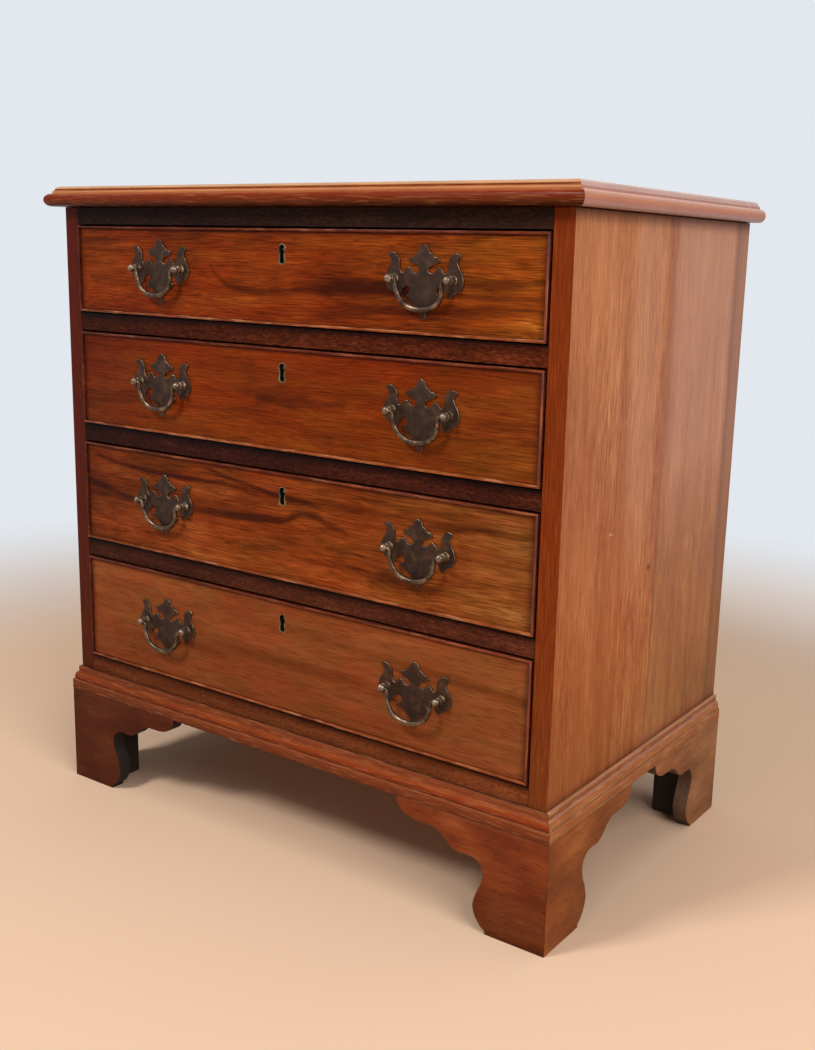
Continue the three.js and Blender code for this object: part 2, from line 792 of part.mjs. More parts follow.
function addHandle(drawer, name, across, level, lean) {
  const handle = new THREE.Group();
  handle.position.set(across, 0, level);
  drawer.add(handle);
  addPiece(`${name}_plate`, plateGeometry, looks.bronze(), handle);
  const pivot = new THREE.Group();
  pivot.position.set(0, -seat - plateThick - postReach, 0);
  handle.add(pivot);
  const leaning = bailGeometry.clone().rotateX(THREE.MathUtils.degToRad(lean));
  addPiece(`${name}_bail`, leaning, looks.bail(), pivot);
}

for (let index = 0; index < drawerCount; index += 1) {
  const name = `drawer_${index + 1}`;
  const tall = openingTalls[index] - overGap - underGap;
  const sideTall = underGap + tall - sideTopDrop - runGap;
  const handleLevel = underGap + tall / 2 + handleLifts[index];
  const drawer = new THREE.Group();
  drawer.position.set(0, frontY, openingLow[index]);
  chest.add(drawer);
  addPiece(`${name}_front`, drawerFront(tall, sideTall, handleLevel), looks.walnut(), drawer);
  addPiece(`${name}_cockbead`, cockbead(tall), looks.bead(), drawer);
  addPiece(`${name}_box`, drawerBox(sideTall), looks.lining(), drawer);
  addPiece(`${name}_bottom`, drawerBottom(), looks.lining(), drawer);
  const lock = new THREE.Group();
  lock.position.set(0, 0, underGap + tall);
  drawer.add(lock);
  addPiece(`${name}_lock_case`, lockGeometry, looks.steel(), lock);
  addPiece(`${name}_lock_bolt`, boltGeometry, looks.brass(), lock);
  const keyPlace = new THREE.Group();
  keyPlace.position.set(0, 0, -keyholeDrop);
  lock.add(keyPlace);
  addPiece(`${name}_escutcheon`, escutcheonGeometry, looks.brass(), keyPlace);
  const [leftLean, rightLean] = bailLeans[index];
  addHandle(drawer, `${name}_left`, -handleSpread, handleLevel, leftLean);
  addHandle(drawer, `${name}_right`, handleSpread, handleLevel, rightLean);
}

export default chest;
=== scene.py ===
import bmesh
import bpy
import math
from functools import partial
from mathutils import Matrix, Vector


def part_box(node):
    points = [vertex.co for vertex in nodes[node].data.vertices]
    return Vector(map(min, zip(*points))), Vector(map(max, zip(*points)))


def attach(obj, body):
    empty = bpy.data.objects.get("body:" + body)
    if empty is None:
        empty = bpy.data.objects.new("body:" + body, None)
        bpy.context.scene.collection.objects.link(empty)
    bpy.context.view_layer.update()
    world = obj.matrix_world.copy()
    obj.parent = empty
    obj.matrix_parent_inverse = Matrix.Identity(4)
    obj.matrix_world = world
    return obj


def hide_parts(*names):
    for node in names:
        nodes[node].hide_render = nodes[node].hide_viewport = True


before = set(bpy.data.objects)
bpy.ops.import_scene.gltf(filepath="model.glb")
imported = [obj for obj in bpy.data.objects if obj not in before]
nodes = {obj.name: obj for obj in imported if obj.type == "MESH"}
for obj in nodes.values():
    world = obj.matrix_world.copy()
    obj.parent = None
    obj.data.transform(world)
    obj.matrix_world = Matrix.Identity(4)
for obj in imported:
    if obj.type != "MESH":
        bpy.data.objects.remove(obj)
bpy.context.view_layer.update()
mm = 0.001
hair = 0.001 * mm  # points closer than this are one
print("chest frame loaded:", len(nodes), "parts")


# shared tools

def linear(hexText):
    # sRGB hex as given, to the linear values that a shader takes
    values = [int(hexText[i:i + 2], 16) / 255 for i in (1, 3, 5)]
    return [v / 12.92 if v <= 0.04045 else ((v + 0.055) / 1.055) ** 2.4 for v in values] + [1.0]


def add(tree, kind, inputs=(), stops=None, points=None, **settings):
    # adds one node and gives its first live output: inputs in socket order, or by socket name or number,
    # ramp stops as (place, hex), curve points, and settings by name
    node = tree.nodes.new("ShaderNode" + kind)
    for key, value in settings.items():
        setattr(node, key, value)
    for key, value in inputs.items() if isinstance(inputs, dict) else enumerate(inputs):
        if isinstance(value, bpy.types.NodeSocket):
            tree.links.new(value, node.inputs[key])
        else:
            node.inputs[key].default_value = value
    if stops:
        ramp, marks = node.color_ramp.elements, list(stops)
        while len(ramp) < len(marks):
            ramp.new(0.5)
        for element, (place, shade) in zip(ramp, marks):
            element.position = place
            element.color = linear(shade)
    if points:
        curve = node.mapping.curves[0]
        while len(curve.points) < len(points):
            curve.points.new(0.5, 0.5)
        for point, place in zip(curve.points, points):
            point.location = place
        node.mapping.update()
    return next((socket for socket in node.outputs if socket.enabled), None)


def newMaterial(name):
    material = bpy.data.materials.new(name)
    material.use_nodes = True
    material.node_tree.nodes.clear()
    return material, partial(add, material.node_tree)


def dress(name, finish):
    # gives a carried-over CAD part its finish
    slots = nodes[name].data.materials
    slots.clear()
    slots.append(finish)


def newPiece(name, mesh, finishes, body, standsFor=(), smoothAngle=30):
    # puts a mesh in the scene, riding on its body and standing for its CAD nodes
    mesh.shade_smooth()
    mesh.set_sharp_from_angle(angle=math.radians(smoothAngle))
    piece = bpy.data.objects.new(name, mesh)
    bpy.context.scene.collection.objects.link(piece)
    for finish in finishes:
        mesh.materials.append(finish)
    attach(piece, body)
    if standsFor:
        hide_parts(*standsFor)
    return piece


def easeEdges(piece, widthMm, angle=50, rimMaterial=-1):
    # rounds the arrises a little, as handling and scraping do
    bevel = piece.modifiers.new("easedArris", "BEVEL")
    bevel.width = widthMm * mm
    bevel.segments = 2
    bevel.limit_method = "ANGLE"
    bevel.angle_limit = math.radians(angle)
    bevel.use_clamp_overlap = False
    bevel.material = rimMaterial


def meshFrom(name, spots, faces):
    mesh = bpy.data.meshes.new(name)
    mesh.from_pydata(spots, [], faces)
    made = bmesh.new()
    made.from_mesh(mesh)
    bmesh.ops.remove_doubles(made, verts=made.verts, dist=hair)
    bmesh.ops.recalc_face_normals(made, faces=made.faces)
    made.to_mesh(mesh)
    made.free()
    return mesh


def arc(centre, reach, fromTurn, toTurn, steps):
    # points on part of an ellipse, ends included
    made = []
    for step in range(steps + 1):
        turn = math.tau * (fromTurn + (toTurn - fromTurn) * step / steps)
        made.append((centre[0] + reach[0] * math.cos(turn), centre[1] + reach[1] * math.sin(turn)))
    return made


def smoothRun(points, steps):
    # a curve through the points, rounded everywhere but at its two ends
    def between(p, q, r, s, t):
        bend, twist = 2 * p - 5 * q + 4 * r - s, 3 * q - p - 3 * r + s
        return 0.5 * (2 * q + (r - p) * t + bend * t * t + twist * t ** 3)

    made = [points[0]]
    last = len(points) - 1
    for i in range(last):
        near = points[max(i - 1, 0)], points[i], points[i + 1], points[min(i + 2, last)]
        made += [tuple(between(*values, step / steps) for values in zip(*near)) for step in range(1, steps + 1)]
    return made


def portions(points, whole=1000):
    # outlines are written down in whole numbers, as thousandths of a length and a height
    return [(a / whole, b / whole) for a, b in points]


def mirrored(half):
    # an outline from its right half, which starts and ends on the middle line
    return half + [(-x, z) for x, z in reversed(half[1:-1])]


def sweep(rings, closeRound=False):
    # skins matching rings of points into one closed mesh's points and faces, round again or capped
    count = len(rings[0])
    spots = [spot for ring in rings for spot in ring]
    faces = []
    spans = len(rings) if closeRound else len(rings) - 1
    for ring in range(spans):
        low, high = ring * count, ((ring + 1) % len(rings)) * count
        for here in range(count):
            ahead = (here + 1) % count
            faces.append((low + here, low + ahead, high + ahead, high + here))
    if not closeRound:
        faces.append(tuple(range(count)))
        faces.append(tuple(range(spans * count, (spans + 1) * count)))
    return spots, faces


# camera

camera = {"place": (0.88723, -1.19313, 0.69170), "turn": (77.7759, -1.4114, 35.0701), "lens": 53.707,
          "sensor": 36, "shift": (-0.02885, -0.00953), "near": 0.05}
lensData = bpy.data.cameras.new("studioCamera")
lensData.sensor_fit = "HORIZONTAL"
lensData.sensor_width = camera["sensor"]
lensData.lens = camera["lens"]
lensData.shift_x, lensData.shift_y = camera["shift"]
lensData.clip_start = camera["near"]
cameraObject = bpy.data.objects.new("studioCamera", lensData)
cameraObject.location = camera["place"]
cameraObject.rotation_euler = [math.radians(v) for v in camera["turn"]]
bpy.context.scene.collection.objects.link(cameraObject)
bpy.context.scene.camera = cameraObject
print("camera set")


# wood
# A polished board: wavy long figure, fine fibre streaks and short open pores under a worn wax polish.
# The eye sees warm brown bands along the grain, dark hairlines, and a soft satin gloss.

timber = {  # what the boards below share, unless they say otherwise
    # sizes in mm along and across the grain; wander is how far the grain strays, in mm
    "grain": "x", "cloud": (70, 30), "figure": (120, 8), "fibre": (24, 2.4), "pore": (9, 1.1),
    "bend": (170, 70), "fray": (60, 14), "patch": (85, 26), "wander": 3, "cut": (1, 1.7, 0.6),
    "shares": (0.4, 0.3, 0.4),  # of cloud, figure and fibre in the tone
    "tones": (0.12, 0.34, 0.5, 0.66, 0.88),  # where the five colours stand, dark to light
    "poreEdge": (0.54, 0.68), "pores": 0.35, "poreDull": 0.2, "poreDeep": 0.8,
    "streakEdge": (0.32, 0.68), "streakBreak": (0.3, 1.35),  # the fibre thins a dark streak and fills it
    "relief": 0.25, "reliefMm": 0.3, "glossEdge": (0.3, 0.7), "gloss": (-0.05, 0.06), "ior": 1.5,
    "mottle": (), "mottleEdge": (0.38, 0.62), "streaks": (), "layers": ()}
# where the masks of the layers start and end in their patterns
coats = {"cloud": (0.32, 0.62), "rub": (0.56, 0.66), "deal": (0.35, 0.65), "seamMm": 0.1}


def grainPattern(node, board, size, detail=2.0):
    # a pattern drawn out along the grain, its features of this length and width in mm
    longMm, wideMm = size
    scale = (1000 / longMm, 1000 / wideMm, 1000 / wideMm)
    vector = node("Mapping", {0: board, 3: scale})
    return node("TexNoise", {"Vector": vector, "Scale": 1.0, "Detail": detail, "Roughness": 0.6})


def streakMask(node, along, across, streak, ragged):
    # one dark figure line drawn along the grain
    (x0, x1), (z0, z1), half, fray, path, fade = streak
    u = node("MapRange", (along, x0 * mm, x1 * mm))
    path = node("FloatCurve", {1: u}, points=portions(path, whole=100))
    centre = node("MapRange", {0: path, 3: z0 * mm, 4: z1 * mm})
    offset = node("Math", (across, centre), operation="SUBTRACT")
    offset = node("Math", (ragged, fray * mm, offset), operation="MULTIPLY_ADD")
    away = node("Math", (offset,), operation="ABSOLUTE")
    near = node("MapRange", {0: away, 2: half * mm, 3: 1.0, 4: 0.0}, interpolation_type="SMOOTHSTEP")
    fade = node("FloatCurve", {1: u}, points=portions(fade, whole=100))
    return node("Math", (near, fade), operation="MULTIPLY")


def woodMaterial(name, wood):
    material, node = newMaterial(name)
    spot = node("TexCoord").node.outputs["Object"]
    xyz = node("SeparateXYZ", (spot,)).node.outputs
    order = {"x": (0, 2, 1), "y": (1, 2, 0), "z": (2, 1, 0)}[wood["grain"]]
    along, across, deep = (xyz[i] for i in order)
    board = node("CombineXYZ", (along, across, deep))
    cut = [wood["shift"] * way for way in wood["cut"]]  # where in the log this board was cut
    board = node("VectorMath", (board, cut), operation="ADD")

    wander = wood["wander"] * mm
    bend = node("MapRange", {0: grainPattern(node, board, wood["bend"]), 3: -wander, 4: wander})
    bend = node("CombineXYZ", {1: bend, 2: bend})
    wavy = node("VectorMath", (board, bend), operation="ADD")
    cloud = grainPattern(node, board, wood["cloud"], detail=3.0)
    figure = grainPattern(node, wavy, wood["figure"], detail=3.0)
    fibre = grainPattern(node, wavy, wood["fibre"])
    pore = node("MapRange", (grainPattern(node, wavy, wood["pore"], detail=0.0), *wood["poreEdge"]))
    ragged = node("MapRange", {0: grainPattern(node, board, wood["fray"], detail=4.0), 3: -1.0})

    # one tone from all of them, then a colour for the tone
    tone = 0.5 - sum(wood["shares"])
    for pattern, share in zip((cloud, figure, fibre), wood["shares"]):
        tone = node("Math", (pattern, share * 2, tone), operation="MULTIPLY_ADD")
    for streak in wood["streaks"]:
        mask = streakMask(node, along, across, streak, ragged)
        frayed = node("MapRange", (fibre, *wood["streakEdge"], *wood["streakBreak"]))
        mask = node("Math", (mask, frayed), operation="MULTIPLY")
        tone = node("Math", (mask, -wood["streakDark"], tone), operation="MULTIPLY_ADD")
    colour = node("ValToRGB", (tone,), stops=zip(wood["tones"], wood["colours"]))
    poreShare = node("Math", (pore, wood["pores"]), operation="MULTIPLY")
    colour = node("Mix", {0: poreShare, 6: colour, 7: linear(wood["poreColour"])}, data_type="RGBA")
    if wood["mottle"]:
        patches = grainPattern(node, board, wood["patch"], detail=1.0)
        patches = node("ValToRGB", (patches,), stops=zip(wood["mottleEdge"], wood["mottle"]))
        colour = node("Mix", {0: 1.0, 6: colour, 7: patches}, data_type="RGBA", blend_type="MULTIPLY")
    fields = {"xyz": xyz, "board": board, "fibre": fibre, "cloud": cloud, "ragged": ragged}
    for layer in wood["layers"]:
        colour = layer(node, colour, fields)

    # open pores are duller than the film of wax between them
    satin = (wood["roughness"] + change for change in wood["gloss"])
    gloss = node("MapRange", (cloud, *wood["glossEdge"], *satin))
    gloss = node("Math", (poreShare, wood["poreDull"], gloss), operation="MULTIPLY_ADD")
    height = node("Math", (pore, -wood["poreDeep"], fibre), operation="MULTIPLY_ADD")
    bump = node("Bump", {"Strength": wood["relief"], "Distance": wood["reliefMm"] * mm, "Height": height})
    waxed = node("BsdfPrincipled", {"Base Color": colour, "Roughness": gloss, "Normal": bump,
                                    "IOR": wood["ior"], "Specular IOR Level": wood["sheen"]})
    node("OutputMaterial", (waxed,))
    return material


def bandMask(node, value, low, high, soft):
    # 1 between two levels in mm, fading over soft at each end
    rise = node("MapRange", (value, (low - soft) * mm, (low + soft) * mm))
    fall = node("MapRange", (value, (high - soft) * mm, (high + soft) * mm, 1.0, 0.0))
    return node("Math", (rise, fall), operation="MULTIPLY")


# Layers are laid over a board's own colour, one after another.

def drift(axis, stops, blend="MULTIPLY", strength=1.0, patchy=0.0):
    # a slow change of shade along one axis; stops are (place in mm, sRGB hex); patchy lets the clouds thin it
    first, last = stops[0][0], stops[-1][0]
    marks = [((place - first) / (last - first), shade) for place, shade in stops]

    def layer(node, colour, fields):
        along = node("MapRange", (fields["xyz"][axis], first * mm, last * mm))
        shade = node("ValToRGB", (along,), stops=marks)
        share = node("MapRange", (fields["cloud"], *coats["cloud"], strength - patchy, strength))
        return node("Mix", {0: share, 6: colour, 7: shade}, data_type="RGBA", blend_type=blend)
    return layer


def rubs(size, shade, strength):
    # short pale rubs where cloths and knocks have taken the polish off an edge; size in mm along and across
    def layer(node, colour, fields):
        rub = grainPattern(node, fields["board"], size, detail=1.0)
        mask = node("MapRange", (rub, *coats["rub"], 0.0, strength))
        return node("Mix", {0: mask, 6: colour, 7: linear(shade)}, data_type="RGBA")
    return layer


def beyond(axis, limitMm, shades):
    # a different timber past a plane, such as deal behind a walnut rail
    def layer(node, colour, fields):
        past = node("Math", (fields["xyz"][axis], 1, -limitMm * mm), operation="MULTIPLY_ADD")
        mask = node("MapRange", (past, -coats["seamMm"] * mm, coats["seamMm"] * mm))
        other = node("ValToRGB", (fields["fibre"],), stops=zip(coats["deal"], shades))
        return node("Mix", {0: mask, 6: colour, 7: other}, data_type="RGBA")
    return layer


# drawer fronts: figured walnut, grain running across, polished
# The eye sees long hairlines and a few broad dark streaks, a darker rim round the field of painted shade and
# old wax, left ends darkened by painted shade, and a deep low gloss.

drawerFront = {
    # real pores are 0.2 to 0.3 mm wide; they are drawn 0.9 mm wide so that they show
    "wood": dict(timber, cloud=(110, 38), figure=(230, 14), fibre=(46, 1.3), pore=(24, 0.9), wander=6,
                 poreEdge=(0.56, 0.64), pores=0.44, poreColour="#351404", roughness=0.34, sheen=0.05,
                 streakDark=0.42, mottle=("#fff3ee", "#f4fff4")),
    # darker along the edges of the field, in mm: painted shade along the raised bead, with old wax and dirt; a
    # strong hold keeps it narrow
    "paintedShadeAndDirt": {"from": 1, "to": 14, "ragged": 0.35, "colour": "#3a150a", "strength": 0.6,
             "hold": {"left": 1.0, "right": 1.0, "foot": 5.0, "top": 1.6}},
    # drift runs in x, darkening each front towards its left end as painted shade, and rise in z; a streak has
    # its x span, the z levels it moves between, half width and fray, all in mm, then its path between the
    # levels and its strength, both in hundredths along the span
    "figures": {
        1: {"shift": 0.0, "shares": (0.38, 0.32, 0.44),
            "colours": ("#4b1e08", "#73380c", "#904812", "#a4581b", "#c37a30"),
            "drift": ((-326, "#d6b0b8"), (60, "#e0bcc2"), (180, "#ecd2d4"), (290, "#ffffff")),
            "rise": ((628, "#fff4f4"), (700, "#ffffff")),
            "streaks": (
                ((-110, 35), (640, 676), 6.1, 3.9, ((0, 100), (12, 55), (30, 25), (60, 18), (100, 33)),
                 ((0, 0), (12, 55), (60, 60), (100, 35))),
                ((10, 190), (646, 664), 11.7, 6.5, ((0, 25), (30, 50), (60, 55), (100, 50)),
                 ((0, 10), (30, 85), (70, 95), (100, 20))),
                ((60, 326), (628, 648), 9, 7.8, ((0, 50), (40, 35), (80, 60), (100, 70)),
                 ((0, 0), (30, 45), (80, 50), (100, 30))),
                ((220, 330), (650, 690), 7.2, 6.5, ((0, 40), (50, 35), (100, 50)),
                 ((0, 0), (40, 55), (100, 40))),
                ((-326, -200), (690, 706), 6.3, 5.2, ((0, 40), (50, 60), (100, 70)),
                 ((0, 40), (50, 50), (100, 0))))},
        2: {"shift": 0.83, "shares": (0.26, 0.28, 0.34), "pores": 0.38,
            "colours": ("#512009", "#72370e", "#884413", "#9b541d", "#b26c30"),
            "drift": ((-326, "#c0a8b8"), (-140, "#eccab4"), (150, "#ecccb6"), (300, "#eeeef0")),
            "rise": ((490, "#ffffff"), (585, "#f6dce0")),
            "streaks": (
                ((-40, 90), (522, 540), 10.8, 7.8, ((0, 50), (100, 50)),
                 ((0, 0), (20, 80), (80, 80), (100, 0))),
                ((-326, -120), (500, 520), 7.2, 7.8, ((0, 30), (100, 80)), ((0, 30), (50, 40), (100, 0))))},
        3: {"shift": 1.61, "streakDark": 0.54, "shares": (0.46, 0.38, 0.38),
            "colours": ("#4c240f", "#753f17", "#8e5021", "#a36130", "#bf7f4a"),
            "drift": ((-326, "#cca492"), (-60, "#eec6aa"), (80, "#fcd2b8"), (300, "#ffffff")),
            "rise": ((345, "#ffffff"), (435, "#f0eaea")),
            "streaks": (
                ((-318, -50), (424, 446), 4.7, 3.9, ((0, 85), (25, 30), (50, 10), (75, 20), (100, 10)),
                 ((0, 35), (30, 85), (80, 90), (100, 20))),
                ((-120, 60), (418, 446), 4.7, 3.9, ((0, 95), (30, 55), (60, 30), (100, 10)),
                 ((0, 25), (30, 85), (70, 70), (100, 10))),
                ((-140, 95), (388, 412), 7.6, 4.5, ((0, 10), (45, 35), (60, 45), (75, 92), (88, 60), (100, 30)),
                 ((0, 20), (30, 90), (85, 85), (100, 10))),
                ((-326, -230), (384, 410), 6.3, 5.2, ((0, 80), (50, 50), (100, 20)),
                 ((0, 70), (60, 50), (100, 10))),
                ((-326, -180), (340, 372), 5.4, 6.5, ((0, 90), (50, 50), (100, 30)),
                 ((0, 40), (60, 30), (100, 0))),
                ((90, 320), (398, 440), 5.4, 6.5, ((0, 10), (50, 50), (100, 75)),
                 ((0, 10), (50, 40), (100, 35))))},
        4: {"shift": 2.47, "shares": (0.18, 0.22, 0.14), "pores": 0.32,
            "colours": ("#602e13", "#7c411d", "#90512b", "#a46137", "#b97d4e"),
            "drift": ((-326, "#f2e6dc"), (120, "#f6e8e0"), (320, "#ffffff")),
            "rise": ((195, "#f2ecec"), (285, "#ffffff")),
            "streaks": (
                ((40, 326), (258, 276), 10.8, 6.5, ((0, 90), (50, 50), (100, 20)),
                 ((0, 20), (60, 50), (100, 50))),
                ((-200, 180), (212, 240), 12.6, 7.8, ((0, 20), (50, 70), (100, 40)),
                 ((0, 0), (50, 35), (100, 0))))},
    },
}


# darkens the field along its edges: painted shade along the raised bead, with old wax and dirt
def fieldShadeAndDirt(low, high):
    paintedShadeAndDirt = drawerFront["paintedShadeAndDirt"]
    reach, hold = paintedShadeAndDirt["to"] * mm, paintedShadeAndDirt["hold"]
    sides = ((0, low.x, 1, hold["left"]), (0, high.x, -1, hold["right"]),
             (2, low.z, 1, hold["foot"]), (2, high.z, -1, hold["top"]))

    def layer(node, colour, fields):
        nearest = None
        for axis, limit, sign, pull in sides:
            place = fields["xyz"][axis]
            away = node("Math", (place, sign * pull, -sign * pull * limit), operation="MULTIPLY_ADD")
            nearest = away if nearest is None else node("Math", (nearest, away), operation="MINIMUM")
        ragged = node("Math", (fields["ragged"], reach * paintedShadeAndDirt["ragged"], nearest), operation="MULTIPLY_ADD")
        mask = node("MapRange", (ragged, paintedShadeAndDirt["from"] * mm, reach, paintedShadeAndDirt["strength"], 0.0),
                    interpolation_type="SMOOTHERSTEP")
        return node("Mix", {0: mask, 6: colour, 7: linear(paintedShadeAndDirt["colour"])}, data_type="RGBA")
    return layer


for number, figure in drawerFront["figures"].items():
    name = f"drawer_{number}_front"
    layers = (drift(0, figure["drift"]), drift(2, figure["rise"]), fieldShadeAndDirt(*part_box(name)))
    wood = {**drawerFront["wood"], **figure, "layers": layers}
    dress(name, woodMaterial(f"figuredWalnutDrawer{number}", wood))
print("drawer fronts polished")


# cockbeads: thin round-nosed walnut strips, mitred
# The eye sees a fine red-brown line round each drawer, glossy on the right, paler along its foot with a painted
# highlight and rubs of wear, its flank in painted shade, and its left end darker with painted shade.

beadWood = dict(timber, cloud=(60, 25), figure=(120, 6), fibre=(20, 2.0), pore=(9, 1.0), shares=(0.6, 0.4, 0.4),
                wander=2, pores=0.3, poreColour="#341006", roughness=0.24, sheen=0.12, relief=0.2, shift=3.3,
                colours=("#48190b", "#5a220f", "#6c2d15", "#803a1e", "#a05430"),
                # the left end darker, a painted shade
                layers=(drift(0, ((-326, "#b0a8a8"), (330, "#ffffff"))),))
runsAlong = 0.3  # a face with no more of its normal than this along an axis runs along that axis
bead = {"thick": 3.0, "deep": 7.0, "stand": 3.0, "steps": 10, "flank": 0.2, "looks": {
    "polishedWalnutCockbead": {},
    "paintedShadeBeadFlank": {  # in the gap round the drawer, near black: painted shade
        "shift": 3.9, "poreColour": "#0c0403", "layers": (),
        "colours": ("#2a0e06", "#34130a", "#3e180c", "#4a1f10", "#5a2a18")},
    "rubbedWalnutCockbeadPaintedHighlight": {  # the foot: paler, a painted highlight where its upper curve meets the light, with rubs of wear; its left end darker, a painted shade
        "shift": 3.6, "colours": ("#6c300f", "#803c17", "#904820", "#a2582c", "#bc7444"),
        "layers": (drift(0, ((-326, "#b8a8a8"), (-190, "#ece4e0"), (330, "#ffffff"))),
                   rubs((26, 2.4), "#d09870", 0.35))},
    "glossyWalnutCockbead": {  # the right-hand run still has its full gloss
        "shift": 4.3, "grain": "z", "roughness": 0.2, "sheen": 0.4},
    "scuffedWalnutCockbead": {  # the top has lost a little polish here and there
        "layers": beadWood["layers"] + (rubs((30, 2.4), "#a8704c", 0.3),)}}}
beadFinishes = [woodMaterial(name, dict(beadWood, **look)) for name, look in bead["looks"].items()]


def cockbead(number):
    name = f"drawer_{number}_cockbead"
    low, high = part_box(name)
    nose = bead["thick"] / 2
    profile = [(0.0, bead["deep"])] + arc((nose, nose - bead["stand"]), (nose, nose), 0.5, 1.0, bead["steps"])
    profile.append((bead["thick"], bead["deep"]))
    face = low.y + bead["stand"] * mm
    rings = []
    for atRight, atTop in ((0, 0), (1, 0), (1, 1), (0, 1)):
        ring = []
        for inset, along in profile:
            x = high.x - inset * mm if atRight else low.x + inset * mm
            z = high.z - inset * mm if atTop else low.z + inset * mm
            ring.append((x, face + along * mm, z))
        rings.append(ring)
    mesh = meshFrom(name, *sweep(rings, closeRound=True))
    middle = (low + high) / 2
    thick = bead["thick"] * mm
    for part in mesh.polygons:  # the five finishes go by where a face lies and looks
        spot, normal = part.center, part.normal
        outward = normal.dot(Vector((spot.x - middle.x, 0, spot.z - middle.z)).normalized())
        onFlank = abs(normal.y) < bead["flank"] and outward > 0
        onFoot = spot.z < low.z + thick and abs(normal.x) < runsAlong
        onRight = spot.x > high.x - thick and abs(normal.z) < runsAlong
        onTop = spot.z > high.z - thick and abs(normal.x) < runsAlong
        part.material_index = 1 if onFlank else 2 if onFoot else 3 if onRight else 4 if onTop else 0
    newPiece(f"{name}_strip", mesh, beadFinishes, f"drawer_{number}", (name,), smoothAngle=50)


for number in range(1, 5):
    cockbead(number)
print("cockbeads laid")


# case: walnut sides, rails and stiles, waxed, and a sawn deal back
# The eye sees a pale pinkish brown side carrying a painted sheen, with pale pores, between much darker stiles
# and rails.

caseSide = {
    # the side's colours carry a painted sheen, paler and pinker than the bare wood
    "wood": dict(timber, grain="z", cloud=(110, 40), figure=(240, 13), fibre=(34, 1.6), pore=(14, 1.3),
                 wander=5, shares=(0.52, 0.42, 0.74), pores=0.3, poreColour="#d0986c", roughness=0.42,
                 sheen=0.08, shift=4.1, colours=("#8a4c2c", "#a05f3b", "#ad6d47", "#b97a52", "#cb9168")),
    "bands": (  # broad tones: y and z spans, shade, strength, softness in y; softness in z is common
        # the first band, pale pinkish over the upper back, is a painted sheen
        (20, 240, 420, 800, "#c69b89", 0.48, 12), (-230, -80, 600, 800, "#c48250", 0.35, 16),
        (-230, -150, 430, 610, "#9c5a32", 0.4, 14), (-230, -60, 120, 480, "#a05626", 0.35, 14),
        (-70, -10, 400, 800, "#cb9c7e", 0.3, 14), (16, 240, 120, 430, "#94785e", 0.3, 3),
        (12, 18, 130, 420, "#64402c", 0.5, 2.5), (2, 36, 380, 760, "#8c5240", 0.3, 8),
        (186, 240, 100, 800, "#85604e", 0.5, 8), (188, 196, 100, 800, "#6a4436", 0.45, 5),
        (-120, -92, 120, 420, "#8c4c26", 0.25, 7), (70, 84, 130, 500, "#8a5436", 0.25, 5),
        (140, 150, 130, 640, "#9a6448", 0.3, 4)),
    "bandSoft": 70, "bandWave": 6,
    "spots": (  # a pin knot and a dent: y, z, radius, shade, strength; they fade from the soft share outwards
        (-1.5, 364, 4.5, "#5a3a22", 0.8), (-99.5, 417, 2.2, "#d8b48c", 0.8), (-94, 416, 1.6, "#d8b48c", 0.7)),
    "scratches": (  # upright ones: y, z, half length, shade
        (-143, 166, 9, "#c98d5c"), (36, 172, 6, "#b98a66"), (62.5, 168, 8, "#b98a66"),
        (-150, 172, 6, "#a87048")),
    "spotSoft": 0.5, "scratchHalf": 0.35, "scratchSoft": (0.3, 1),
    "rise": (  # darker just over the base moulding and browner towards the foot, the upper side keeping its painted sheen; a painted shadow under the top
        (150, "#b9a385"), (155.5, "#b9a385"), (157.5, "#cdb6a6"), (161, "#dbcab6"), (170, "#e3dab7"),
        (220, "#eee0c0"), (300, "#fae9cd"), (480, "#fffaf4"), (722, "#ffffff"), (733, "#ccc8c8"),
        (737, "#a09c9c")),
    "stile": {"from": 0.5, "to": 1.2, "fibres": ((0.28, "#662c10"), (0.5, "#783713"), (0.72, "#8a4620")),
              # the left stile darker, a painted shade
              "drift": ((-329, "#a88478"), (329, "#ffffff")),
              "rise": ((160, "#f6ffff"), (360, "#ffe0a4"), (736, "#ffe0a4"))}}
rail = {
    "wood": dict(timber, cloud=(90, 30), figure=(60, 7), fibre=(8, 2.4), pore=(5, 1.4), pores=0.4,
                 poreColour="#120604", roughness=0.42, sheen=0.05, relief=0.3),
    "shift": 5.3, "shiftStep": 0.7, "shares": (0.3, 0.25), "gap": 1,  # mm under the drawer above
    # left and run darken the left end of each rail, a painted shade
    "left": -326, "run": ((60, "#e0e0e0"), (300, "#ffffff")),
    "deep": 60.5, "deal": ("#a5835a", "#b8966a"),  # walnut in front, deal behind
    "paintedShadeAndDirt": ((11, "#ffffff"), (5, "#c8c0c0"), (2, "#787070"), (0, "#303030")),  # painted shadow under the drawer above, by mm below it
    "looks": {  # colours, painted shade of the left end, share of the short flecks
        # the top frame's colours hold a painted shadow of the overhanging top
        "top_frame": (("#1c0f0b", "#26150f", "#301b13", "#3c2319", "#4c2f22"), "#b4b4b4", 0.5),
        "divider_1": (("#341207", "#4a1c0b", "#5a240f", "#6a2e15", "#804022"), "#909090", 0.62),
        "divider_2": (("#240e07", "#35150b", "#421a0e", "#502314", "#663323"), "#a8a8a8", 0.5),
        "divider_3": (("#34170d", "#4a2213", "#5a2b1a", "#6a3623", "#824933"), "#a4a0a0", 0.4),
        "bottom_frame": (("#562612", "#6a341a", "#7b3f20", "#8b4b28", "#a2623e"), "#d4d0cc", 0.16)}}
